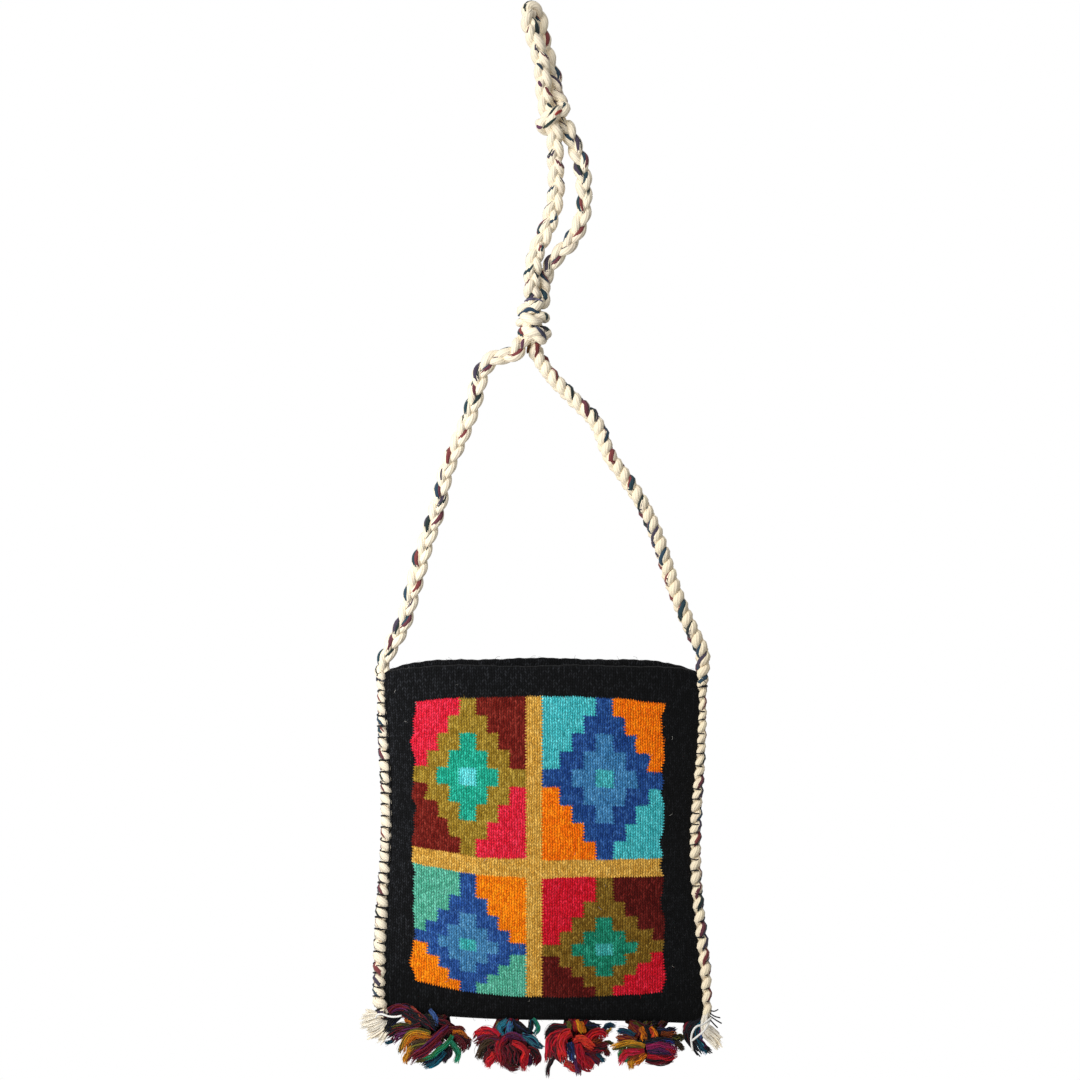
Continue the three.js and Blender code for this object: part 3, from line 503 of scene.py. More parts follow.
def bow_at(x, height):
    """How far a row of the cloth rises towards its ends."""
    from_left, from_right = shares_from_middle(x)
    return lift_at(LEFT_LIFT, height) * from_left ** 2 + lift_at(RIGHT_LIFT, height) * from_right ** 2


def height_at(x, height):
    return FRONT_LIP_Z - CLOTH_HEIGHT + height + bow_at(x, height)


def lip_levelling(x, height):
    """Above the panels the rows of the cloth level out, so that the lip falls off only at its corners."""
    from_left, from_right = shares_from_middle(x)
    drop = LEFT_LIP_DROP * from_left ** LIP_BEND + RIGHT_LIP_DROP * from_right ** LIP_BEND
    share = np.clip((height - FIELD_HEAD) / (CLOTH_HEIGHT - FIELD_HEAD), 0, 1)
    return -share * (drop + bow_at(x, height))


def lip_wave(x, height, side):
    """The unevenness of the lip, which fades out below it."""
    slow = LIP_SLOW_WAVE["depth"] * np.sin(x / LIP_SLOW_WAVE["length"] + side)
    quick = LIP_QUICK_WAVE["depth"] * np.sin(x / LIP_QUICK_WAVE["length"] + 3 * side)
    quick = quick * np.sin(x / LIP_QUICK_WAVE["beat"])
    return (slow + quick) * np.clip((height - LIP_WAVE_FOOT) / LIP_WAVE_RISE, 0, 1)


def back_lip_rise(height, full):
    return BACK_LIP_RISE * np.clip((height - WALL) / (CLOTH_HEIGHT - WALL), 0, 1) ** 2 * full


def fullness(x, height, inset):
    """1 in the middle of the pouch and 0 at its seams."""
    left = seam_x(-1, height) + inset
    right = seam_x(1, height) - inset
    share = np.clip(np.abs(x - (left + right) / 2) / ((right - left) / 2), 0, 1)
    return (1 - share ** FULLNESS_POWER) ** FULLNESS_EASE


def belly_at(side, height):
    share = np.sin(np.pi / 2 * np.clip(height / BELLY_HEIGHT, 0, 1))
    return FOLD_RADIUS + (BELLIES[side] - FOLD_RADIUS) * share


def fold_round(height):
    return np.sqrt(1 - (1 - np.clip(height / FOLD_RADIUS, 0, 1)) ** 2)


def unevenness(x, height, side):
    """The small waves of hand-woven cloth, in millimetres."""
    slow = np.sin(x / SLOW_WAVE["across"] + side) * np.sin(height / SLOW_WAVE["up"] + 0.7 * side)
    lean = np.sin(x / QUICK_WAVE["across"] + height / QUICK_WAVE["lean"] + 2 * side)
    quick = lean * np.sin(height / QUICK_WAVE["up"] - x / QUICK_WAVE["beat"])
    return SLOW_WAVE["depth"] * slow + QUICK_WAVE["depth"] * quick


def cloth_column_x(flat_x, height):
    """Panel columns stay put; border columns are drawn in with the side seams."""
    if flat_x < PANEL_LEFT:
        left = seam_x(-1, height)
        return left + (flat_x - SEAM_LEFT) / (PANEL_LEFT - SEAM_LEFT) * (PANEL_LEFT - left)
    if flat_x > PANEL_RIGHT:
        right = seam_x(1, height)
        return right + (SEAM_RIGHT - flat_x) / (SEAM_RIGHT - PANEL_RIGHT) * (PANEL_RIGHT - right)
    return flat_x


def outer_point(side, flat_x, height):
    """A place on the outside of the cloth: side -1 is the front and 1 the back."""
    x = cloth_column_x(flat_x, height)
    full = fullness(x, height, 0)
    wave = unevenness(x, height, side) * full * np.clip(height / WAVE_FADE_HEIGHT, 0, 1)
    y = side * (fold_round(height) * (WALL + (belly_at(side, height) - WALL) * full) + wave)
    z = height_at(x, height) + lip_levelling(x, height) + lip_wave(x, height, side)
    if side > 0:
        z += back_lip_rise(height, full)
    return (x, y, z)


def inner_point(side, flat_x, height):
    x, _, z = outer_point(side, flat_x, height)
    full = fullness(x, height, SEAM_ALLOWANCE)
    y = side * fold_round(height - WALL) * (belly_at(side, height) - WALL) * full
    return (x, min(y, 0) if side < 0 else max(y, 0), z)


# Meshes
def new_piece(name, mesh, material):
    piece = bpy.data.objects.new(name, mesh)
    bpy.context.scene.collection.objects.link(piece)
    if material is not None:
        mesh.materials.clear()
        mesh.materials.append(material)
    return piece


def plain_mesh(piece, name):
    """The piece as its modifiers leave it, as a plain mesh in a new object."""
    bpy.context.view_layer.update()
    graph = bpy.context.evaluated_depsgraph_get()
    mesh = bpy.data.meshes.new_from_object(piece.evaluated_get(graph))
    mesh.name = name
    bpy.data.objects.remove(piece)
    return new_piece(name, mesh, None)


def give_points(mesh, name, kind, field, values):
    """Stores a named value with each point of a mesh."""
    attribute = mesh.attributes.new(name, kind, "POINT")
    attribute.data.foreach_set(field, np.asarray(values, dtype=np.float32).ravel())


def cloth_columns():
    left = np.linspace(SEAM_LEFT, PANEL_LEFT, LEFT_BORDER_COLUMNS)
    middle = np.linspace(PANEL_LEFT, PANEL_RIGHT, FIELD_COLUMNS)
    right = np.linspace(PANEL_RIGHT, SEAM_RIGHT, RIGHT_BORDER_COLUMNS)
    return np.concatenate([left, middle[1:], right[1:]])


def cloth_rows():
    fold = FOLD_RADIUS * (1 - np.cos(np.linspace(0, np.pi / 2, FOLD_ROWS)))
    rest = np.linspace(FOLD_RADIUS, CLOTH_HEIGHT, OUTER_ROWS)
    return np.concatenate([fold, rest[1:]])


class PouchShell:
    """One closed shell: outside, rolled lips and inside, with both side seams shut."""

    def __init__(self):
        self.columns = cloth_columns()
        self.rows = cloth_rows()
        self.inner_rows = np.linspace(WALL, CLOTH_HEIGHT, INNER_ROWS)
        self.top = len(self.rows) - 1
        self.inner_top = len(self.inner_rows) - 1
        self.last_column = len(self.columns) - 1
        hollow = np.flatnonzero((self.columns >= SEAM_LEFT + SEAM_ALLOWANCE)
                                & (self.columns <= SEAM_RIGHT - SEAM_ALLOWANCE))
        self.first_hollow = int(hollow[0])
        self.last_hollow = int(hollow[-1])
        self.points = []
        self.cloth = []
        self.numbers = {}
        self.faces = []
        for side in (-1, 1):
            self.add_side(side)
        self.add_seam(0, False)
        self.add_seam(self.last_column, True)

    def put(self, key, point, flat_x, height):
        """The number of a point, which is made when it is first asked for."""
        if key not in self.numbers:
            self.numbers[key] = len(self.points)
            self.points.append([value * MM for value in point])
            self.cloth.append((flat_x * MM, height * MM))
        return self.numbers[key]

    def outer(self, side, column, row):
        flat_x = self.columns[column]
        if row == 0:
            return self.put(("fold", column), outer_point(-1, flat_x, 0), flat_x, 0)
        height = self.rows[row]
        return self.put((side, column, row), outer_point(side, flat_x, height), flat_x, -side * height)

    def inner(self, side, column, row):
        flat_x = self.columns[column]
        height = self.inner_rows[row]
        point = inner_point(side, flat_x, height)
        key = ("in", side, column, row)
        if row == 0 or column <= self.first_hollow or column >= self.last_hollow:
            point = (point[0], 0, inner_point(-1, flat_x, height)[2])
            key = ("in", 0, column, row)
        return self.put(key, point, flat_x, -side * height)

    def lip(self, side, column):
        outside = self.points[self.outer(side, column, self.top)]
        inside = self.points[self.inner(side, column, self.inner_top)]
        middle = [(a + b) / 2 / MM for a, b in zip(outside, inside)]
        middle[2] = max(outside[2], inside[2]) / MM + LIP_ROLL
        return self.put(("lip", side, column), middle, self.columns[column], -side * CLOTH_HEIGHT)

    def seam_edge(self, column, row):
        flat_x = self.columns[column]
        height = self.rows[row]
        x, _, z = outer_point(-1, flat_x, height)
        x += math.copysign(SEAM_ROUND, flat_x) * fold_round(height)
        return self.put(("seam", column, row), (x, 0, z), flat_x, height)

    def add_face(self, corners, mirrored):
        corners = list(dict.fromkeys(corners))
        self.faces.append(corners[::-1] if mirrored else corners)

    def add_strip(self, lower, upper, mirrored):
        for a, b, c, d in zip(lower[:-1], lower[1:], upper[1:], upper[:-1]):
            self.faces.append((a, d, c, b) if mirrored else (a, b, c, d))

    def add_side(self, side):
        back = side > 0
        whole = range(len(self.columns))
        hollow = range(self.first_hollow, self.last_hollow + 1)
        outside = [[self.outer(side, column, row) for column in whole] for row in range(self.top + 1)]
        for lower, upper in zip(outside, outside[1:]):
            self.add_strip(lower, upper, back)
        lips = [self.lip(side, column) for column in whole]
        self.add_strip(outside[-1], lips, back)
        self.add_strip(lips, [self.inner(side, column, self.inner_top) for column in whole], back)
        inside = [[self.inner(side, column, row) for column in hollow] for row in range(self.inner_top + 1)]
        for lower, upper in zip(inside, inside[1:]):
            self.add_strip(lower, upper, not back)

    def add_seam(self, column, mirrored):
        front = [self.outer(-1, column, row) for row in range(self.top + 1)]
        ridge = [self.seam_edge(column, row) for row in range(self.top + 1)]
        back = [self.outer(1, column, row) for row in range(self.top + 1)]
        for row in range(self.top):
            self.add_face([front[row], front[row + 1], ridge[row + 1], ridge[row]], mirrored)
            self.add_face([ridge[row], ridge[row + 1], back[row + 1], back[row]], mirrored)
        self.add_face([front[-1], self.lip(-1, column), self.inner(-1, column, self.inner_top),
                       self.lip(1, column), back[-1], ridge[-1]], mirrored)


def make_pouch(material):
    shell = PouchShell()
    mesh = bpy.data.meshes.new("woven_pouch_cloth")
    mesh.from_pydata(shell.points, [], shell.faces)
    give_points(mesh, "cloth", "FLOAT2", "vector", shell.cloth)
    mesh.polygons.foreach_set("use_smooth", [True] * len(mesh.polygons))
    mesh.update()
    return new_piece("woven_pouch_cloth", mesh, material)


# Paths of the cord
def unit(vectors):
    return vectors / np.linalg.norm(vectors, axis=-1, keepdims=True)


def turned(vector, axis, angle):
    """A vector turned about an axis of length 1."""
    kept = axis * axis.dot(vector) * (1 - np.cos(angle))
    return vector * np.cos(angle) + np.cross(axis, vector) * np.sin(angle) + kept


def at_marks(path, marks):
    """A path's points at marks that may lie between its own."""
    numbers = np.arange(len(path))
    return np.stack([np.interp(marks, numbers, path[:, axis]) for axis in range(3)], axis=1)


def smooth_path(points, step):
    """A smooth line through the points, at equal steps."""
    points = np.array(points, dtype=float)
    ends = np.vstack([2 * points[0] - points[1], points, 2 * points[-1] - points[-2]])
    fine = []
    for index in range(len(points) - 1):
        before, start, stop, after = ends[index:index + 4]
        for share in np.linspace(0, 1, FINE_STEPS, endpoint=False):
            fine.append(0.5 * (2 * start + (stop - before) * share
                               + (2 * before - 5 * start + 4 * stop - after) * share ** 2
                               + (3 * start - before - 3 * stop + after) * share ** 3))
    fine = np.array(fine + [points[-1]])
    gaps = np.linalg.norm(np.diff(fine, axis=0), axis=1)
    along = np.concatenate([[0], np.cumsum(gaps)])
    marks = np.linspace(0, along[-1], int(round(along[-1] / step)) + 1)
    return np.stack([np.interp(marks, along, fine[:, axis]) for axis in range(3)], axis=1)


def curve_through(points, count):
    """A smooth short line through a few points, with the same number of points each time."""
    path = smooth_path(points, SHORT_LINE_STEP)
    return at_marks(path, np.linspace(0, len(path) - 1, count))


def soften(path, passes):
    path = path.copy()
    for _ in range(passes):
        path[1:-1] = 0.25 * path[:-2] + 0.5 * path[1:-1] + 0.25 * path[2:]
    return path


def round_off(path, passes):
    """Eases the places where a line bends tighter than the cord can."""
    path = path.copy()
    for _ in range(passes):
        headings = unit(np.diff(path, axis=0))
        straight = np.sum(headings[:-1] * headings[1:], axis=1)
        tight = np.flatnonzero(straight < np.cos(PATH_STEP / TIGHTEST_BEND)) + 1
        path[tight] = 0.25 * path[tight - 1] + 0.5 * path[tight] + 0.25 * path[tight + 1]
    return path


def edge_cord_points(side):
    points = []
    for share in EDGE_SHARES:
        height = min(share, EDGE_TOP_SHARE) * CLOTH_HEIGHT
        seam = seam_x(side, height)
        climb = (share - height / CLOTH_HEIGHT) * CLOTH_HEIGHT
        press = EDGE_PRESS + TOP_PRESS * max(0, share - TOP_PRESS_FROM)
        x = seam + side * (EDGE_CORD_DIAMETER / 2 + SEAT_GAP - press)
        points.append((x, 0, height_at(seam, height) + climb))
    return points


def lower_knot_points():
    """The left leg winds up round the right leg: three fronts from left to right."""
    points = []
    for angle in np.arange(np.pi * 1.05, -4.0 * np.pi, -KNOT_STEP):
        turn = (np.pi / 2 - angle) / (2 * np.pi)
        fixed = np.clip(turn, 0, 2)
        x, ring, tilt, z = [np.interp(fixed, [0, 1, 2], [wrap[key] for wrap in LOWER_WRAPS])
                            for key in ("x", "ring", "tilt", "z")]
        z += (turn - fixed) * LOWER_KNOT_CLIMB
        points.append((x + ring * np.cos(angle) * np.cos(tilt), -ring * np.sin(angle),
                       z - ring * np.cos(angle) * np.sin(tilt)))
    return points


def upper_knot_points():
    """Going up, the cord goes behind from right to left, then in front from lower left to upper right."""
    points = []
    wrap = UPPER_WRAP
    for angle in np.arange(0, 2.01 * np.pi, KNOT_STEP):
        slope = wrap["ring"] * np.cos(angle) * np.sin(wrap["tilt"])
        z = wrap["z"] + wrap["climb"] * (angle / (2 * np.pi) - 0.5) + slope
        points.append((wrap["x"] + wrap["ring"] * np.cos(angle) * np.cos(wrap["tilt"]),
                       wrap["ring"] * np.sin(angle), z))
    return points


def cord_route():
    """The cord from the lower left corner to the lower right one, and where its free part begins and ends."""
    left_edge = [LEFT_FOOT] + edge_cord_points(-1)
    right_edge = edge_cord_points(1)[::-1]
    strap = (LEFT_LEG + lower_knot_points() + RIGHT_RUN + upper_knot_points() + HANGING_LOOP
             + LEFT_RUN_DOWN + RIGHT_LEG_DOWN)
    path = soften(smooth_path(left_edge + strap + right_edge, PATH_STEP), 4)
    path = round_off(path, 30)
    first = int(np.argmin(np.linalg.norm(path - np.array(left_edge[-1]), axis=1)))
    last = int(np.argmin(np.linalg.norm(path - np.array(right_edge[0]), axis=1)))
    return path, first, last


# The plait
def carried_frames(path, turns):
    """Directions across the cord, carried along it and eased towards the turn that its face has there."""
    tangents = unit(np.gradient(path, axis=0))
    depth = np.array((0.0, 1.0, 0.0))
    across = []
    current = turned(unit(np.cross(tangents[0], depth)), tangents[0], turns[0])
    for tangent, turn in zip(tangents, turns):
        current = unit(current - tangent * tangent.dot(current))
        level = np.cross(tangent, depth)
        weight = np.linalg.norm(level)
        if weight > LEVEL_ENOUGH:
            wanted = turned(level / weight, tangent, turn)
            error = math.atan2(np.cross(current, wanted).dot(tangent), current.dot(wanted))
            current = turned(current, tangent, np.clip(error, -LARGEST_TURN, LARGEST_TURN) * weight)
        across.append(current)
    across = np.array(across)
    return tangents, across, np.cross(tangents, across)


def graded(marks, *stops):
    """A value all along the cord, from its value at a few marks and evenly graded between them."""
    places, values = zip(*stops)
    return np.interp(marks, places, values)


def plait_sizes(marks, first, leg, last, bead, free):
    """How thick the plait is along the cord, where it is 1 on the free strap."""
    end = len(marks)
    sewn = (EDGE_CORD_DIAMETER + free * (STRAP_DIAMETER - EDGE_CORD_DIAMETER)) / STRAP_DIAMETER
    fuller = graded(marks, (first, 1), (first + 20, 1.05), (leg - 40, 1.05), (leg, 1.09), (last - 20, 1.09),
                    (last, 1))
    drawn = graded(
        marks, (6, 1.25), (10, 1.15), (50, 1.15), (75, 1), (first - 26, 1), (first - 7, 0.7), (first - 1, 1),
        (last + 1, 1), (last + 8, 0.72), (last + 35, 0.8), (last + 75, 1), (end - 25, 1.05), (end - 8, 0.82))
    waist = ((1 - bead) / 2) ** 3
    pinch = graded(marks, (leg - 1, 0.34), (leg, 0.12), (last + 70, 0.12), (last + 110, 0.26)) * waist
    return sewn * fuller * (1 + (1 - free) * (EDGE_SWELL - pinch)) * drawn


def plait_outside(marks, first, leg, last):
    """The way in which the dyed yarns come up on the cord: across, in depth and up."""
    right = graded(marks, (first - 4, -1), (first + 12, 0), (leg - 20, 0), (leg, 0.9), (leg + 60, 0.8),
                   (leg + 110, -0.8), (last - 10, -0.8), (last + 10, 1))
    toward_front = graded(
        marks, (22, -0.9), (34, 0), (first - 34, 0), (first - 30, -1.8), (first - 22, -1.8), (first - 18, 0),
        (first + 12, -0.4), (leg, -0.5), (last - 10, -0.5), (last + 10, 0), (last + 50, 0), (last + 70, -0.5))
    return np.stack([right, toward_front, 1 - 0.7 * np.abs(right)], axis=1)


def dyed_shares(path, marks, first, last):
    """How much the dyed yarns of each strand show along the cord; below 0 they mostly hide."""
    end = len(marks)
    dyed = graded(path[:, 2], (-470, 0.5), (-460, 0.15), (-260, 0.15), (-240, 0.5), (-75, 0.5), (-60, -0.3))
    dyed = dyed + graded(
        marks, (7, 0), (9, 1), (12, 1), (14, 0), (first - 31, 0), (first - 28, 2), (first - 24, 2),
        (first - 21, 0), (first + 3, 0), (first + 6, 0.9), (first + 9, 0.9), (first + 12, 0))
    dyed = dyed + graded(marks, (first - 70, 0), (first - 60, 0.5), (first - 15, 0.5), (first - 8, 0))
    dyed = dyed + graded(marks, (last + 60, 0), (last + 75, 0.6), (end - 30, 0.6), (end - 20, -0.4))
    foot = graded(marks, (12, 0), (15, 1), (62, 1), (72, 0))
    return [dyed - 0.6 * foot, dyed + 1.6 * foot, dyed - 0.6 * foot]


def lay_plait(path, first, last):
    """Where the plait's face turns, how tight it is and how thick, all along the cord."""
    marks = np.arange(len(path))
    leg = last - RIGHT_LEG_MARKS
    turns = graded(marks, (first - 8, EDGE_TURN), (first + 12, 0), (leg - 40, 0), (leg + 30, RIGHT_LEG_TURN))
    tangents, across, through = carried_frames(path, turns)
    repeat = graded(
        marks, (first - 8, LEFT_EDGE_REPEAT), (first + 12, LEFT_REPEAT), (leg - 60, LEFT_REPEAT),
        (leg, RIGHT_REPEAT), (last + 70, RIGHT_REPEAT), (last + 110, RIGHT_FOOT_REPEAT))
    phase = np.cumsum(2 * np.pi * PATH_STEP / repeat) - FOOT_PHASE
    bead = np.cos(3 * phase - 1.5 * np.pi) * np.where(marks < leg, 1, -1)
    free = graded(marks, (first - 6, 0), (first + 10, 1), (last - 10, 1), (last + 6, 0))
    warmth = graded(marks, (leg, 0.3), (last, 1))[:, None]
    return {
        "path": path, "marks": marks, "tangents": tangents, "across": across, "through": through,
        "phase": phase, "bead": bead, "size": plait_sizes(marks, first, leg, last, bead, free),
        "swell": 0.2 + 0.16 * free, "lobed": graded(marks, (leg - 40, 1), (leg, 0)),
        "outside": plait_outside(marks, first, leg, last), "dyed": dyed_shares(path, marks, first, last),
        "cream": np.array(CREAM) * (1 - warmth) + np.array(WARM_CREAM) * warmth,
    }


def out_and_up(line, direction):
    """Two directions across a line, the first as near as can be to the one given."""
    tangent = unit(np.gradient(line, axis=0))
    out = unit(direction - tangent * np.sum(direction * tangent, axis=1)[:, None])
    return out, np.cross(tangent, out)


def plait_lines(plait):
    """Middle lines of the three strands and of the dyed yarns on them, over the whole cord."""
    marks = plait["marks"]
    size = plait["size"]
    slack = 1 + 0.06 * np.sin(marks / 17) + 0.05 * np.sin(marks / 5.3 + 1)
    lines = []
    chance = random.Random(4)
    for strand in range(3):
        angle = plait["phase"] + strand * 2 * np.pi / 3
        swing = STRAND_SWING * size * slack * np.sin(angle)
        depth = STRAND_DEPTH * size * np.sin(2 * angle)
        middle = plait["path"] + plait["across"] * swing[:, None] + plait["through"] * depth[:, None]
        fat = 1.01 + plait["swell"] * (np.sin(angle) ** 2 - 0.5) + 0.04 * np.sin(marks / 9 + 2 * strand)
        radius = STRAND_RADIUS * size * fat
        lines.append({"points": middle, "radius": radius, "dye": plait["cream"]})
        out, up = out_and_up(middle, plait["across"])
        outward = np.arctan2(np.sum(up * plait["outside"], axis=1), np.sum(out * plait["outside"], axis=1))
        start = chance.uniform(0, 2 * np.pi)
        for yarn in range(2):
            wander = np.unwrap(outward) + 0.7 * yarn - 0.35 + 0.35 * np.sin(marks / 11 + start)
            shown = 1.3 * np.sin(marks / 11 + start * 3 + 1.1 * yarn)
            shown = shown + plait["dyed"][strand] * (1 - 0.8 * yarn)
            shown = np.clip(shown, 0, 1) * (1 - 0.75 * plait["lobed"] * np.cos(angle) ** 2)
            girth = DYED_YARN_RADIUS * size * (0.5 + 0.5 * shown)
            reach = radius - girth * (1.15 - 0.32 * shown)
            aim = out * np.cos(wander)[:, None] + up * np.sin(wander)[:, None]
            lines.append({"points": middle + aim * reach[:, None], "radius": girth,
                          "dye": CORD_DYES[2 * strand + yarn]})
    return lines


def cut_lines(lines, first, last):
    return [{"points": line["points"][first:last], "radius": line["radius"][first:last],
             "dye": np.broadcast_to(line["dye"], (len(line["points"]), 4))[first:last]} for line in lines]


def front_of(lines, x, z):
    """How far forward the cord's yarns reach at one place of the picture plane."""
    nearest = 0.0
    for line in lines:
        gap = (line["points"][:, 0] - x) ** 2 + (line["points"][:, 2] - z) ** 2
        inside = gap < line["radius"] ** 2
        if inside.any():
            reach = np.sqrt(line["radius"][inside] ** 2 - gap[inside])
            nearest = min(nearest, np.min(line["points"][inside, 1] - reach))
    return nearest


def knot_yarns(lines):
    """The dyed yarns of the knots and the loop, half sunk into the front of the strands."""
    marks = []
    share = np.linspace(0, 1, KNOT_YARN_POINTS)
    for width, colour, route in KNOT_YARNS:
        points = curve_through([(x, 0, z) for x, z in route], KNOT_YARN_POINTS)
        points[:, 1] = [front_of(lines, x, z) for x, _, z in points]
        points = soften(points, 2)
        girth = width * np.sqrt(np.sin(np.pi * (0.04 + 0.92 * share)))
        points[:, 1] += 0.5 * girth
        marks.append({"points": points, "radius": girth, "dye": colour})
    return marks


# Sewing threads
def thread_line(points, thickness, colour):
    return {"points": points, "radius": np.full(len(points), thickness), "dye": colour}


def thread_ring(plait, mark, turns, lead, slant, thickness, colour, start=0.0):
    """Thread wound round the cord at one place, drawn down on its strands."""
    count = int(16 * turns) + 1
    angle = np.linspace(start, start + 2 * np.pi * turns, count)
    size = plait["size"][max(mark - 2, 0):mark + 3].mean()
    wide = (STRAND_SWING + STRAND_RADIUS) * size
    deep = (STRAND_DEPTH + STRAND_RADIUS) * size
    along = np.linspace(-0.5, 0.5, count) * lead + slant * np.cos(angle)
    points = (plait["path"][mark] + plait["across"][mark] * (wide * np.cos(angle))[:, None]
              + plait["through"][mark] * (deep * np.sin(angle))[:, None]
              + plait["tangents"][mark] * along[:, None])
    return thread_line(points, thickness, colour)


def whip_stitches(plait, start, stop, thickness, turns, from_angle):
    """A black thread at every waist between two beads of a sewn cord, all or part of the way round it."""
    chance = random.Random(start + 8)
    bead = plait["bead"]
    lines = []
    for mark in range(start + 2, stop - 2):
        if bead[mark] < bead[mark - 1] and bead[mark] <= bead[mark + 1]:
            slant = chance.uniform(0.3, 1.5) * chance.choice((1, 1, -1))
            width = thickness * chance.uniform(0.8, 1.15)
            lines.append(thread_ring(plait, mark, turns, WHIP_LEAD, slant, width, BLACK_THREAD, from_angle))
    return lines


def running_stitch(plait, top, thickness, from_mark, to_mark):
    """A black thread that runs up an edge cord on its front, next to the cloth, counted down from its top."""
    start = top - from_mark
    stop = top - to_mark
    marks = plait["marks"][start:stop]
    aside = 2.6 + 0.7 * np.sin(marks / 2.1) * np.sin(marks / 5.7)
    forward = -4.4 - 0.5 * np.sin(marks / 3.3 + 1)
    points = plait["path"][start:stop] + np.column_stack([aside, forward, 0 * marks])
    return thread_line(points, thickness, BLACK_THREAD)


def loose_threads(routes, thickness, colour):
    return [thread_line(curve_through(route, LOOSE_THREAD_POINTS), thickness, colour) for route in routes]


# Nodes
class Value:
    """An output of a node; reckoning with it adds a node to its tree."""

    def __init__(self, net, socket):
        self.net = net
        self.socket = socket

    def __add__(self, other):
        return self.net.math("ADD", self, other)

    def __sub__(self, other):
        return self.net.math("SUBTRACT", self, other)

    def __rsub__(self, other):
        return self.net.math("SUBTRACT", other, self)

    def __mul__(self, other):
        return self.net.math("MULTIPLY", self, other)

    def __truediv__(self, other):
        return self.net.math("DIVIDE", self, other)

    def __pow__(self, other):
        return self.net.math("POWER", self, other)

    def __gt__(self, other):
        return self.net.math("GREATER_THAN", self, other)

    def __lt__(self, other):
        return self.net.math("LESS_THAN", self, other)

    def __abs__(self):
        return self.net.math("ABSOLUTE", self)


class Nodes:
    """Adds nodes to a tree; an input is given a number, a colour or another node's output."""

    def __init__(self, tree):
        self.tree = tree

    def put(self, socket, value):
        if isinstance(value, Value):
            value = value.socket
        if isinstance(value, bpy.types.NodeSocket):
            self.tree.links.new(value, socket)
        else:
            socket.default_value = value

    def add(self, kind, inputs=None, **settings):
        node = self.tree.nodes.new(kind)
        for name, value in settings.items():
            setattr(node, name, value)
        for name, value in (inputs or {}).items():
            self.put(node.inputs[name], value)
        return node

    def value(self, kind, output, inputs=None, **settings):
        """One output of a new node, to reckon with."""
        return Value(self, self.add(kind, inputs, **settings).outputs[output])

    def math(self, operation, *values):
        inputs = dict(enumerate(values))
        return self.value("ShaderNodeMath", 0, inputs, operation=operation)

    def mix(self, share, first, second, blend="MIX"):
        inputs = {0: share, 6: first, 7: second}
        return self.value("ShaderNodeMix", 2, inputs, data_type="RGBA", blend_type=blend)

    def place(self, x, y, z=0.0):
        return self.value("ShaderNodeCombineXYZ", 0, {"X": x, "Y": y, "Z": z})

    def noise(self, vector, scale, detail=2.0):
        return self.value("ShaderNodeTexNoise", "Fac", {"Vector": vector, "Scale": scale, "Detail": detail})

    def chance(self, x, y):
        """A chance value from 0 to 1 for each whole number of x and y."""
        cell = self.place(self.math("FLOOR", x), self.math("FLOOR", y))
        return self.value("ShaderNodeTexWhiteNoise", "Value", {"Vector": cell}, noise_dimensions="2D")

    def ranged(self, value, **limits):
        """A value mapped from one range to another, such as from_max=40 or to_min=0.3."""
        inputs = {label.replace("_", " ").title(): limit for label, limit in limits.items()}
        return self.value("ShaderNodeMapRange", 0, {"Value": value, **inputs})

    def attribute(self, name, output):
        return self.value("ShaderNodeAttribute", output, attribute_name=name)

    def first_two(self, vector):
        """The first two numbers of a vector."""
        node = self.add("ShaderNodeSeparateXYZ", {"Vector": vector})
        return Value(self, node.outputs["X"]), Value(self, node.outputs["Y"])

    def bump(self, shader, height, strength, depth):
        """Raises a surface by its height, with the depth in millimetres."""
        inputs = {"Height": height, "Strength": strength, "Distance": depth * MM}
        self.put(shader.inputs["Normal"], self.value("ShaderNodeBump", 0, inputs))

    def group(self, tree, **inputs):
        """The outputs of a node group, with its inputs named in small letters."""
        node = self.add("ShaderNodeGroup", node_tree=tree)
        for label, value in inputs.items():
            self.put(node.inputs[label.replace("_", " ").capitalize()], value)
        return {output.name: Value(self, output) for output in node.outputs}


def tree_with(name, kind, inputs, outputs):
    """A new node tree with named inputs and outputs, ready for its nodes."""
    tree = bpy.data.node_groups.new(name, kind)
    for label, socket in inputs.items():
        tree.interface.new_socket(label, in_out="INPUT", socket_type="NodeSocket" + socket)
    for label, socket in outputs.items():
        tree.interface.new_socket(label, in_out="OUTPUT", socket_type="NodeSocket" + socket)
    net = Nodes(tree)
    given = net.add("NodeGroupInput").outputs
    values = {label: Value(net, given[label]) for label in inputs}
    return net, values, net.add("NodeGroupOutput").inputs


def apply_tree(piece, tree, name, **inputs):
    """The plain mesh that a tree makes of a piece, with the tree's inputs named in small letters."""
    modifier = piece.modifiers.new("tree", "NODES")
    modifier.node_group = tree
    keys = {item.name: item.identifier for item in tree.interface.items_tree}
    for label, value in inputs.items():
        modifier[keys[label.replace("_", " ").capitalize()]] = value
    return plain_mesh(piece, name)


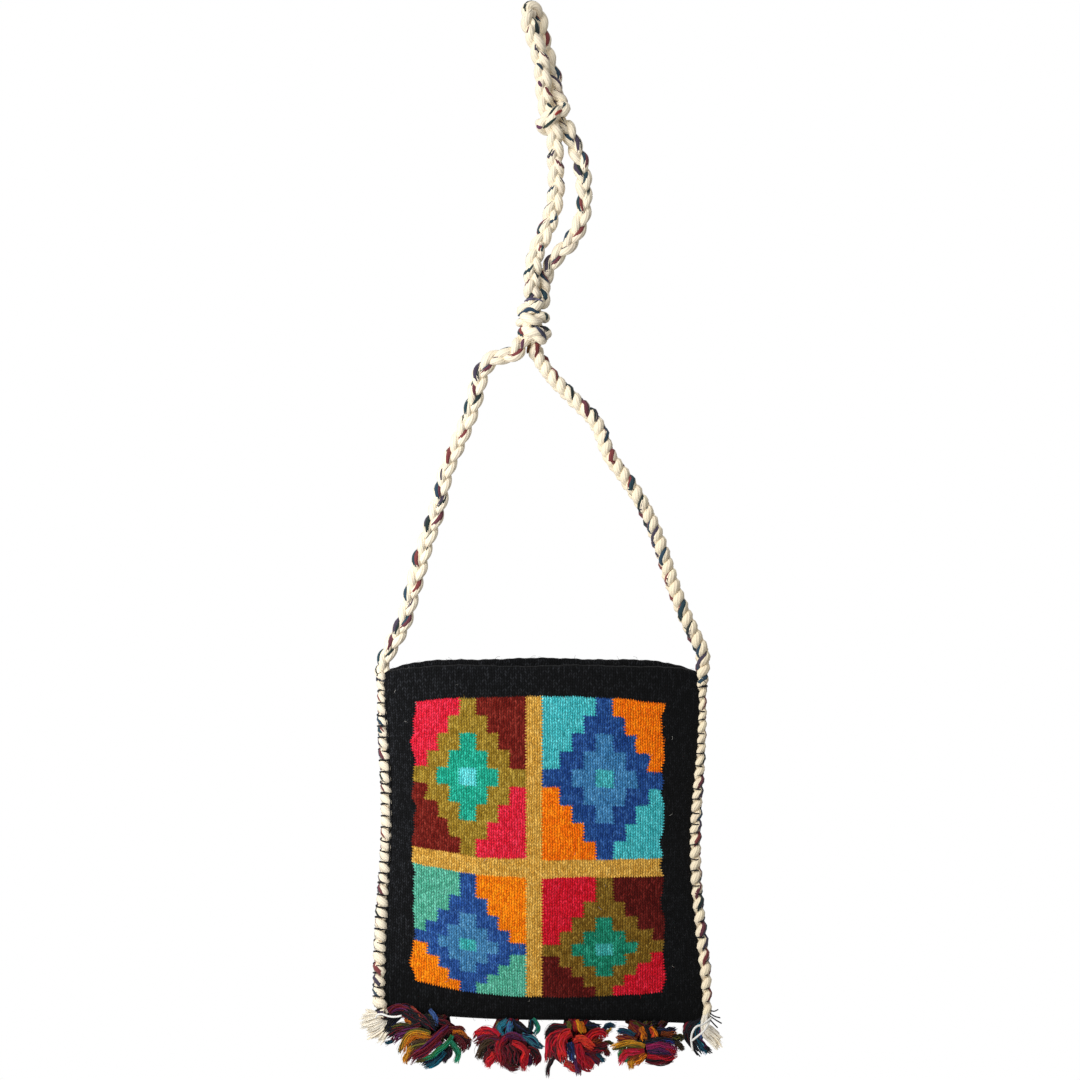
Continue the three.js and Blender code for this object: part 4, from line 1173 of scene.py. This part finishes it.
# Yarns and fibres
def yarn_tree():
    """Sweeps a round section along every line of a mesh, as thick as the line's own thickness says."""
    net, given, out = tree_with(
        "yarn_along_lines", "GeometryNodeTree",
        {"Lines": "Geometry", "Sides": "Int", "Yarn material": "Material"}, {"Yarns": "Geometry"})
    curve = net.add("GeometryNodeMeshToCurve", {"Mesh": given["Lines"]})
    thickness = net.add("GeometryNodeInputNamedAttribute", {"Name": "thickness"}, data_type="FLOAT")
    ring = net.add("GeometryNodeCurvePrimitiveCircle", {"Resolution": given["Sides"], "Radius": 1.0})
    place = net.add("GeometryNodeInputPosition")
    spoke = net.add("GeometryNodeStoreNamedAttribute", {"Geometry": ring.outputs["Curve"], "Name": "spoke"},
                    data_type="FLOAT_VECTOR", domain="POINT")
    net.put(spoke.inputs["Value"], place.outputs[0])
    tube = net.add("GeometryNodeCurveToMesh", {"Curve": curve.outputs[0], "Profile Curve": spoke.outputs[0],
                                               "Scale": thickness.outputs[0], "Fill Caps": True})
    smooth = net.add("GeometryNodeSetShadeSmooth", {"Geometry": tube.outputs[0]})
    whole = net.add("GeometryNodeRealizeInstances", {"Geometry": smooth.outputs[0]})
    finish = net.add("GeometryNodeSetMaterial", {
        "Geometry": whole.outputs[0], "Material": given["Yarn material"]})
    net.put(out["Yarns"], finish.outputs[0])
    return net.tree


def make_yarns(name, lines, sides, material):
    """Lines of points, each with its thickness and dye, as one piece of yarn."""
    along = []
    edges = []
    start = 0
    for line in lines:
        count = len(line["points"])
        gaps = np.linalg.norm(np.diff(line["points"], axis=0), axis=1)
        along.append(np.concatenate([[0], np.cumsum(gaps)]) + YARN_SHIFT * start)
        edges.extend((start + index, start + index + 1) for index in range(count - 1))
        start += count
    points = np.concatenate([line["points"] for line in lines]) * MM
    colours = [np.broadcast_to(line["dye"], (len(line["points"]), 4)) for line in lines]
    mesh = bpy.data.meshes.new(name + "_lines")
    mesh.from_pydata(points.tolist(), edges, [])
    give_points(mesh, "thickness", "FLOAT", "value", np.concatenate([line["radius"] for line in lines]) * MM)
    give_points(mesh, "along", "FLOAT", "value", np.concatenate(along))
    give_points(mesh, "dye", "FLOAT_COLOR", "color", np.concatenate(colours))
    piece = new_piece(name + "_lines", mesh, None)
    return apply_tree(piece, YARN_TREE, name, sides=sides, yarn_material=material)


def fuzz_tree():
    """Short bent fibres that stand on a cloth, scattered and turned by a fixed seed."""
    net, given, out = tree_with(
        "fibres_on_cloth", "GeometryNodeTree",
        {"Cloth": "Geometry", "Density": "Float", "Length": "Float", "Thickness": "Float", "Seed": "Int",
         "Fibre material": "Material"}, {"Fibres": "Geometry"})
    spots = net.add("GeometryNodeDistributePointsOnFaces",
                    {"Mesh": given["Cloth"], "Density": given["Density"], "Seed": given["Seed"]})
    bend = net.add("GeometryNodeCurveQuadraticBezier", {
        "Resolution": 4, "Start": (0, 0, 0), "Middle": (0.1, 0.15, 0.55), "End": (0.75, -0.1, 0.62)})
    girth = given["Thickness"] / given["Length"]
    section = net.add("GeometryNodeCurvePrimitiveCircle", {"Resolution": 3, "Radius": girth})
    fibre = net.add("GeometryNodeCurveToMesh", {
        "Curve": bend.outputs[0], "Profile Curve": section.outputs[0], "Fill Caps": True})
    spin = net.add("FunctionNodeRandomValue", {
        "Min": (0, 0, 0), "Max": (0.5, 0.5, 6.28), "Seed": given["Seed"]}, data_type="FLOAT_VECTOR")
    turn = net.add("FunctionNodeEulerToRotation", {"Euler": spin.outputs[0]})
    facing = net.add("FunctionNodeRotateRotation", {
        "Rotation": spots.outputs["Rotation"], "Rotate By": turn.outputs[0]}, rotation_space="LOCAL")
    spread = net.add("FunctionNodeRandomValue", {2: 0.5, 3: 1.4, "Seed": 7}, data_type="FLOAT")
    size = given["Length"] * spread.outputs[1]
    stand = net.add("GeometryNodeInstanceOnPoints", {
        "Points": spots.outputs["Points"], "Instance": fibre.outputs[0], "Rotation": facing.outputs[0],
        "Scale": size})
    whole = net.add("GeometryNodeRealizeInstances", {"Geometry": stand.outputs[0]})
    finish = net.add("GeometryNodeSetMaterial", {
        "Geometry": whole.outputs[0], "Material": given["Fibre material"]})
    net.put(out["Fibres"], finish.outputs[0])
    return net.tree


def make_fuzz(name, cloth, fibres, material):
    carrier = new_piece(name + "_carrier", cloth.data.copy(), None)
    return apply_tree(carrier, FUZZ_TREE, name, density=fibres["density"], length=fibres["length"] * MM,
                      thickness=fibres["thickness"] * MM, seed=fibres["seed"], fibre_material=material)


# Shader groups
def swing(value, reach):
    """A value from 0 to 1 as a swing to both sides of 0."""
    return (value - 0.5) * reach


def weave_group():
    """Ribbed weave: height of a rib and its slanted wefts, a chance value for each stitch, and slow bands."""
    net, given, out = tree_with(
        "ribbed_weave", "ShaderNodeTree",
        {"Across": "Float", "Along": "Float", "Rib": "Float", "Weft": "Float"},
        {"Height": "Float", "Stitch": "Float", "Streak": "Float"})
    spot = net.place(given["Across"], given["Along"])
    across = given["Across"] + net.noise(spot, 0.06) * 3.0 + net.noise(spot, 0.4) * 0.8
    rib = across / given["Rib"]
    rib_number = net.math("FLOOR", rib)
    rib_share = net.math("FRACT", rib)
    hand = net.math("PINGPONG", rib_number, 1.0) * 2.0 - 1.0
    weft = given["Along"] / given["Weft"] + rib_share * hand * 0.9
    rib_round = net.math("SINE", rib_share * math.pi)
    weft_round = net.math("SINE", net.math("FRACT", weft) * math.pi)
    rib_lengths = net.place(rib_number * 5.3, given["Along"] * 0.14)
    net.put(out["Height"], rib_round ** 0.6 * (weft_round * 0.65 + 0.35))
    net.put(out["Stitch"], net.chance(rib, weft))
    net.put(out["Streak"], net.noise(rib_lengths, 1.0))
    return net.tree


def panel_group():
    """Stepped diamond: colour by the steps from the panel's middle, with two kinds of corner."""
    net, given, out = tree_with(
        "stepped_diamond", "ShaderNodeTree",
        {"Column": "Float", "Row": "Float", "Falling corners": "Color", "Rising corners": "Color",
         "Diamond": "Color", "Inner": "Color", "Middle": "Color"}, {"Color": "Color"})
    steps = abs(given["Column"]) + abs(given["Row"])
    rising = given["Column"] * given["Row"] > 0
    colour = net.mix(rising, given["Falling corners"], given["Rising corners"])
    for label, reach in (("Diamond", DIAMOND_STEPS), ("Inner", INNER_STEPS), ("Middle", 0)):
        colour = net.mix(steps < reach + 0.5, colour, given[label])
    net.put(out["Color"], colour)
    return net.tree


def heather_group():
    """Spun wool: each stitch lighter or darker, with slow bands of dye."""
    net, given, out = tree_with(
        "heathered_wool", "ShaderNodeTree",
        {"Color": "Color", "Stitch": "Float", "Streak": "Float", "Amount": "Float"}, {"Color": "Color"})
    light = (given["Stitch"] - 0.5) * given["Amount"] + swing(given["Streak"], DYE_BANDS)
    deepened = net.value("ShaderNodeGamma", 0, {"Color": given["Color"], "Gamma": light * -0.7 + 1.0})
    shade = net.value("ShaderNodeHueSaturation", 0, {"Color": deepened, "Value": light * 0.6 + 1.0})
    net.put(out["Color"], shade)
    return net.tree


# Materials
def new_material(name):
    material = bpy.data.materials.new(name)
    material.use_nodes = True
    net = Nodes(material.node_tree)
    return material, net, material.node_tree.nodes["Principled BSDF"]


def plain_finish(shader, roughness, sheen):
    shader.inputs["Roughness"].default_value = roughness
    shader.inputs["Specular IOR Level"].default_value = 0.1
    shader.inputs["Sheen Weight"].default_value = sheen
    shader.inputs["Sheen Roughness"].default_value = 0.5
    shader.inputs["Sheen Tint"].default_value = (1, 1, 1, 1)


def uneven_places(net, u, v):
    """Places on the cloth as its yarns lie: toothed, wandering and pulled, so that no edge is ruled."""
    wander = net.noise(net.place(u, v), 0.3, 3.0)
    pucker = net.noise(net.place(u * 0.5, v), 0.055, 1.0)
    sag = net.noise(net.place(u, v + 90.0), 0.04, 1.0)
    outer_part = net.ranged(abs(u - BAND_MIDDLE_X), from_min=45.0, from_max=85.0)
    teeth = net.math("PINGPONG", v, TOOTH_HEIGHT) - TOOTH_HEIGHT / 2
    notches = net.math("PINGPONG", u, NOTCH_WIDTH) - NOTCH_WIDTH / 2
    pull = swing(pucker, SIDE_PULL) * outer_part
    edge_u = u + teeth * TOOTH_REACH + swing(wander, COLUMN_WANDER) + pull
    edge_v = v + notches * NOTCH_REACH - swing(wander, ROW_WANDER) + swing(sag, ROW_SAG)
    return edge_u, edge_v


def panel_column(net, place, middle, width):
    """Columns counted from a panel's middle one, which is the widest."""
    from_axis = (place - middle) / width
    away = abs(from_axis)
    swell = net.math("COSINE", away * 0.86) * MIDDLE_COLUMN_SWELL
    steps = net.math("FLOOR", away + 0.5 - swell)
    return net.math("SIGN", from_axis) * net.math("MINIMUM", steps, DIAMOND_STEPS)


def panel_rows(net, place):
    """Rows counted from the middle of a panel; those of the lower panels widen towards the band."""
    above_band = (place - BAND_HEAD) / UPPER_CELL_HEIGHT
    below_band = (BAND_FOOT - place) / (BAND_FOOT - FIELD_FOOT)
    leaned = net.math("MAXIMUM", below_band, 0.0) ** LOWER_ROW_LEAN
    lower = net.math("FLOOR", leaned * (2 * DIAMOND_STEPS + 1))
    return {"upper": net.math("FLOOR", above_band) - DIAMOND_STEPS, "lower": DIAMOND_STEPS - lower}


def between(place, low, high):
    return (place > low) * (place < high)


def field_colour(net, edge_u, edge_v):
    """The four panels and the gold cross between them."""
    columns = {"left": panel_column(net, edge_u, LEFT_PANEL_AXIS, LEFT_CELL_WIDTH),
               "right": panel_column(net, edge_u, RIGHT_PANEL_AXIS, RIGHT_CELL_WIDTH)}
    rows = panel_rows(net, edge_v)
    panels = {}
    for name, (falling, rising, diamond, inner, middle) in PANEL_DYES_WITH_PAINTED_FALLOFF.items():
        storey, hand = name.split("_")
        panels[name] = net.group(
            PANEL_GROUP, column=columns[hand], row=rows[storey], falling_corners=falling,
            rising_corners=rising, diamond=diamond, inner=inner, middle=middle)["Color"]
    on_right = edge_u > BAND_MIDDLE_X
    above = edge_v > (BAND_FOOT + BAND_HEAD) / 2
    upper = net.mix(on_right, panels["upper_left"], panels["upper_right"])
    lower = net.mix(on_right, panels["lower_left"], panels["lower_right"])
    upright = between(edge_u, BAND_MIDDLE_X - BAND_WIDTH / 2, BAND_MIDDLE_X + BAND_WIDTH / 2)
    in_band = net.math("MAXIMUM", upright, between(edge_v, BAND_FOOT, BAND_HEAD))
    return net.mix(in_band, net.mix(above, lower, upper), GOLD)


def cloth_material():
    material, net, shader = new_material("woven_wool_cloth")
    u, v = [place * (1 / MM) for place in net.first_two(net.attribute("cloth", "Vector"))]
    edge_u, edge_v = uneven_places(net, u, v)
    in_field = between(edge_u, PANEL_LEFT, PANEL_RIGHT) * between(edge_v, FIELD_FOOT, FIELD_HEAD)
    # Painted light falloff on the border: its black is lit at the upper left and painted darker towards the
    # right and towards the fold at the bottom
    to_right = net.ranged(u, from_min=SEAM_LEFT, from_max=SEAM_RIGHT, to_min=1.0, to_max=0.4)
    painted_light_falloff = to_right * net.ranged(abs(v), from_max=40.0, to_min=0.3)
    border = net.mix(painted_light_falloff, PAINTED_SHADE_BLACK, BORDER_BLACK)
    colour = net.mix(in_field, border, field_colour(net, edge_u, edge_v))
    weave = net.group(WEAVE_GROUP, across=u, along=v, rib=RIB_SPACING, weft=WEFT_SPACING)
    spun = net.group(
        HEATHER_GROUP, color=colour, stitch=weave["Stitch"], streak=weave["Streak"], amount=HEATHER)
    specks = net.chance(u / FIBRE_SPECK, v / FIBRE_SPECK)
    # Painted shade in the grooves of the weave, times random lighter and darker specks
    groove_shade_and_specks = (weave["Height"] * 0.84 + 0.44) * (specks * 0.64 + 0.68)
    shaded = net.mix(1.0, spun["Color"], net.place(groove_shade_and_specks, groove_shade_and_specks, groove_shade_and_specks), "MULTIPLY")
    # Grey flecks on random stitches of the border, kept to the crests of the ribs as painted highlights and
    # dimmed with the painted light falloff
    fleck = net.ranged(weave["Stitch"], from_min=0.45, to_min=0.1, to_max=0.42)
    fleck_and_crest_highlight = fleck * weave["Height"] ** 3.0 * painted_light_falloff * (1.0 - in_field)
    net.put(shader.inputs["Base Color"], net.mix(fleck_and_crest_highlight, shaded, GREY_FLECK_AND_CREST_HIGHLIGHT))
    hairs = net.noise(net.place(u, v * 0.6), 2.6, 3.0)
    net.bump(shader, weave["Height"] + hairs * 0.6, 0.8, 0.7)
    plain_finish(shader, 0.95, 0.03)
    return material


def lint_material():
    material, net, shader = new_material("pale_lint")
    speck = net.noise(net.add("ShaderNodeTexCoord").outputs["Object"], 900.0)
    net.put(shader.inputs["Base Color"], net.mix(speck, dye(120, 118, 112), dye(206, 204, 196)))
    plain_finish(shader, 0.9, 0.0)
    return material


def yarn_material(name, plies, slant, depth, roughness, sheen, spread):
    """Spun yarn: fine plies that wind round it, with its dye from the yarn itself."""
    material, net, shader = new_material(name)
    along = net.attribute("along", "Fac")
    spoke_x, spoke_y = net.first_two(net.attribute("spoke", "Vector"))
    angle = net.math("ARCTAN2", spoke_y, spoke_x)
    ply = net.math("SINE", angle * plies + along * slant) * 0.5 + 0.5
    fibres = net.noise(net.place(angle * 4.0, along * 0.35), 1.7, 4.0)
    cloud = net.noise(net.place(along, 0.0), 0.09, 2.0)
    # The ply term also darkens the valleys between plies as painted shade; fibres and cloud are random tone
    light = (fibres * spread + (1.0 - 0.5 * spread)) * (cloud * 0.3 + 0.85) * (ply * 0.16 + 0.9)
    shade = net.value("ShaderNodeHueSaturation", 0, {
        "Color": net.attribute("dye", "Color"), "Value": light, "Hue": cloud * 0.05 + 0.475})
    net.put(shader.inputs["Base Color"], shade)
    net.bump(shader, ply + fibres, 0.6, depth)
    plain_finish(shader, roughness, sheen)
    return material


# Tassels and tufts
def lock_lines(guide, width, first, second, style, chance):
    """A lock of combed wool or cotton: a flat, loosely twisted bundle of strands that fray at the tip."""
    count = len(guide)
    share = np.linspace(0, 1, count)
    tangents = unit(np.gradient(guide, axis=0))
    side = unit(np.cross(tangents, np.array(LOCK_FACING)))
    front = np.cross(tangents, side)
    swell = 0.6 + 0.4 * np.sin(np.pi * np.clip(0.1 + 0.85 * share, 0, 1))
    # Painted shade: the strands darken towards their roots under the hem
    painted_root_light = 1 - style["root_shade"] * np.cos(0.5 * np.pi * share)
    twist = chance.uniform(-1.6, 1.6)
    lines = []
    for index in range(style["strands"]):
        stray = index % STRAY_EVERY == 0
        spread = STRAY_SPREAD if stray else BUNDLED_SPREAD
        turn = 2 * np.pi * index * GOLDEN_TURN + twist * share
        away = width * math.sqrt((index + 0.5) / style["strands"]) * swell
        away = away * spread["away"] + spread["fray"] * chance.uniform(0, 1) * share ** 3
        wave = style["wave"] * (width + 1.2) * np.sin(
            2 * np.pi * (chance.uniform(0.8, 2.2) * share + chance.uniform(0, 1)))
        lift = 0.6 * np.sin(turn) * away + 0.5 * np.roll(wave, 3)
        points = guide + side * (np.cos(turn) * away + wave)[:, None] + front * lift[:, None]
        points = at_marks(points, np.linspace(0, (count - 1) * chance.uniform(0.76, 1), count))
        light = chance.uniform(*style["shades"]) * painted_root_light
        colour = np.array(second if chance.random() < SECOND_DYE_SHARE else first)
        shade = np.column_stack([np.minimum(np.outer(light, colour[:3]), 1), np.ones(count)])
        if stray:
            girth = chance.uniform(*STRAY_RADII)
        else:
            girth = max(THINNEST_RADIUS, width * chance.uniform(*style["girths"]))
        lines.append({"points": points, "radius": girth * (1 - 0.6 * share ** 3), "dye": shade})
    return lines


def bulge_at(tassel, x, z):
    """How far the front of a tassel stands out from the plane of the bag."""
    across = (x - tassel["x"]) / (1.15 * tassel["reach"])
    down = (z - height_at(tassel["x"], 0) + 0.5 * tassel["drop"]) / (0.75 * tassel["drop"])
    return TASSEL_DEPTH_SHARE * tassel["reach"] * math.sqrt(max(0.08, 1 - across ** 2 - down ** 2))


def on_tassel(tassel, around, polar, layer):
    """A place in a tassel: its angle around, its angle from the top in degrees, and 1 on the outside."""
    tilt = math.radians(polar)
    half = np.array((tassel["reach"], TASSEL_DEPTH_SHARE * tassel["reach"], 0.5 * tassel["drop"]))
    middle = np.array((tassel["x"], 0, height_at(tassel["x"], 0) - 0.5 * tassel["drop"]))
    aim = np.array((math.sin(tilt) * math.cos(around), math.sin(tilt) * math.sin(around), math.cos(tilt)))
    return middle + layer * half * aim


def inner_lock(tassel, turn, chance):
    """The path of a lock that comes down from the hem and bows out over the tassel on one side."""
    polar = math.degrees(math.acos(chance.uniform(-0.95, 0.2)))
    layer = chance.uniform(0.4, 0.92)
    neck = tassel["neck"]
    root = (tassel["x"] + chance.uniform(-neck, neck), chance.uniform(-4, 4), height_at(tassel["x"], 0) + 0.5)
    knee = on_tassel(tassel, turn + chance.uniform(-0.6, 0.6), chance.uniform(30, 60), 0.85 * layer)
    belly = on_tassel(tassel, turn + chance.uniform(-0.4, 0.4), 0.75 * polar + 10, 0.95 * layer)
    tip = on_tassel(tassel, turn, polar, layer * chance.uniform(0.95, 1.1))
    return curve_through([root, knee, belly, tip], LOCK_POINTS)


def tassel_lines(tassel):
    """A dark heart and locks turned out all round, the inner locks darkened as painted shade, with the locks
    of the front laid over them in order.
    """
    chance = random.Random(tassel["seed"])
    lines = []
    for index in range(LOCKS_IN_TASSEL):
        turn = 2 * math.pi * (index * GOLDEN_TURN + chance.uniform(-0.04, 0.04))
        guide = inner_lock(tassel, turn, chance)
        first = chance.choice(tassel["fill"])
        second = chance.choice(tassel["fill"])
        lines.extend(lock_lines(guide, chance.uniform(*INNER_LOCK_WIDTHS), first, second, INNER_WOOL, chance))
    for index, (width, first, second, route) in enumerate(tassel["locks"]):
        layer = 0.85 + 0.3 * index / len(tassel["locks"])
        guide = curve_through([(x, -layer * bulge_at(tassel, x, z), z) for x, z in route], LOCK_POINTS)
        lines.extend(lock_lines(guide, width, first, second, FRONT_WOOL, chance))
    return lines


def make_tassels(material):
    made = []
    for number, tassel in enumerate(TASSELS, 1):
        piece = make_yarns(f"wool_tassel_{number}_locks", tassel_lines(tassel), sides=4, material=material)
        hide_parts(f"wool_tassel_{number}")
        made.append(piece)
    return made


def tuft_lines(locks, foot, seed):
    """A cut cord end: plies that open like a brush in front of and behind the foot of the cord."""
    chance = random.Random(seed)
    lines = []
    for index, (width, first, second, route) in enumerate(locks):
        for depth in (3, -1.5 - 0.7 * index):
            spots = [(x, depth * (0.4 + 0.4 * step), z) for step, (x, z) in enumerate(route)]
            guide = curve_through([(foot[0], 0.4 * depth, foot[2] + 3)] + spots, LOCK_POINTS)
            lines.extend(lock_lines(guide, width, first, second, CUT_COTTON, chance))
    return lines


# Camera, light and floor
def make_camera():
    camera = bpy.data.objects.new("camera", bpy.data.cameras.new("camera"))
    bpy.context.scene.collection.objects.link(camera)
    camera.data.lens = CAMERA_LENS
    camera.data.sensor_width = CAMERA_SENSOR
    camera.location = CAMERA_PLACE
    camera.rotation_euler = (math.pi / 2, 0, 0)
    bpy.context.scene.camera = camera


def area_light(name, place, aim, size, power):
    light = bpy.data.lights.new(name, "AREA")
    light.shape = "DISK"
    light.size = size
    light.energy = power
    lamp = bpy.data.objects.new(name, light)
    lamp.location = place
    lamp.visible_camera = False
    lamp.rotation_euler = (Vector(aim) - Vector(place)).to_track_quat("-Z", "Y").to_euler()
    bpy.context.scene.collection.objects.link(lamp)


def make_world():
    """Soft light from all sides, white where the camera, gloss or glass sees it."""
    world = bpy.data.worlds.new("studio")
    bpy.context.scene.world = world
    world.use_nodes = True
    net = Nodes(world.node_tree)
    background = world.node_tree.nodes["Background"]
    path = net.add("ShaderNodeLightPath").outputs
    seen = net.math("MAXIMUM", path["Is Camera Ray"],
                    net.math("MAXIMUM", path["Is Glossy Ray"], path["Is Transmission Ray"]))
    background.inputs["Color"].default_value = (1, 1, 1, 1)
    net.put(background.inputs["Strength"], seen * (1 - WORLD_LIGHT) + WORLD_LIGHT)


def make_floor():
    material, net, shader = new_material("pale_floor")
    grain = net.noise(net.add("ShaderNodeTexCoord").outputs["Object"], 40.0)
    net.put(shader.inputs["Base Color"], net.mix(grain, (0.86, 0.86, 0.86, 1), (0.9, 0.9, 0.9, 1)))
    shader.inputs["Roughness"].default_value = 0.8
    angles = np.linspace(0, 2 * np.pi, FLOOR_SIDES, endpoint=False)
    ring = [(FLOOR_RADIUS * math.cos(angle), FLOOR_RADIUS * math.sin(angle), FLOOR_Z) for angle in angles]
    mesh = bpy.data.meshes.new("floor")
    mesh.from_pydata(ring, [], [range(FLOOR_SIDES)])
    new_piece("floor", mesh, material)


make_camera()
make_world()
for light in LIGHTS:
    area_light(**light)
make_floor()
bpy.context.scene.view_settings.view_transform = "Standard"

YARN_TREE = yarn_tree()
FUZZ_TREE = fuzz_tree()
WEAVE_GROUP = weave_group()
PANEL_GROUP = panel_group()
HEATHER_GROUP = heather_group()
THREAD = yarn_material("sewing_thread", plies=2, slant=3.0, depth=0.1, roughness=0.8, sheen=0.1, spread=0.3)
COTTON = yarn_material("plaited_cotton_yarn", plies=9, slant=1.1, depth=0.35, roughness=0.85, sheen=0.15,
                       spread=0.22)
WOOL = yarn_material("tassel_wool_yarn", plies=3, slant=0.9, depth=0.3, roughness=0.95, sheen=0.08,
                     spread=0.6)
CLOTH = cloth_material()

# The cord
path, first, last = cord_route()
plait = lay_plait(path, first, last)
lines = plait_lines(plait)
strap = make_yarns("strap_cord", cut_lines(lines, first, last + 1) + knot_yarns(lines), PLAIT_SIDES, COTTON)
left_edge = make_yarns("left_edge_cord_plait", cut_lines(lines, 0, first + 1), PLAIT_SIDES, COTTON)
right_edge = make_yarns("right_edge_cord_plait", cut_lines(lines, last, len(path)), PLAIT_SIDES, COTTON)
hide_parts("left_strap_leg", "right_strap_leg", "lower_knot", "left_loop_run", "right_loop_run",
            "upper_knot", "hanging_loop")
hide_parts("left_edge_cord")
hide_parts("right_edge_cord")

# The cloth
pouch = make_pouch(CLOTH)
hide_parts("woven_pouch")
fuzz = make_fuzz("woven_pouch_fuzz", pouch, FUZZ, CLOTH)
lint = make_fuzz("woven_pouch_lint", pouch, LINT, lint_material())

# The threads
stitch_lines = whip_stitches(plait, 0, first, **LEFT_WHIP)
stitch_lines += whip_stitches(plait, last, len(path), **RIGHT_WHIP)
stitch_lines.append(running_stitch(plait, first, **RUNNING_THREAD))
stitch_lines.append(thread_ring(plait, first - BINDING_MARKS, **LEFT_BINDING))
stitch_lines.append(thread_ring(plait, last + BINDING_MARKS, **RIGHT_BINDING))
stitches = make_yarns("edge_cord_stitches", stitch_lines, sides=5, material=THREAD)

# The tassels and the cord's cut ends
tassels = make_tassels(WOOL)
left_brush = tuft_lines(LEFT_TUFT, path[0], seed=5)
right_brush = tuft_lines(RIGHT_TUFT, path[-1], seed=6)
left_tuft = make_yarns("left_cord_tuft_brush", left_brush, sides=6, material=THREAD)
right_tuft = make_yarns("right_cord_tuft_brush", right_brush, sides=6, material=THREAD)
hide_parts("left_cord_tuft")
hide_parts("right_cord_tuft")
tie_lines = loose_threads(WHITE_TIES, WHITE_TIE, WHITE_THREAD)
tie_lines += loose_threads(BLACK_ENDS, BLACK_END, BLACK_THREAD)
ties = make_yarns("corner_threads", tie_lines, sides=6, material=THREAD)

slots = {"woven_wool": [pouch, fuzz, lint], "tassel_wool": tassels,
         "plaited_cotton": [strap, left_edge, right_edge, stitches, left_tuft, right_tuft, ties]}
for slot, pieces in slots.items():
    for piece in pieces:
        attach(piece, "root")

free = path[first:last + 1] * MM
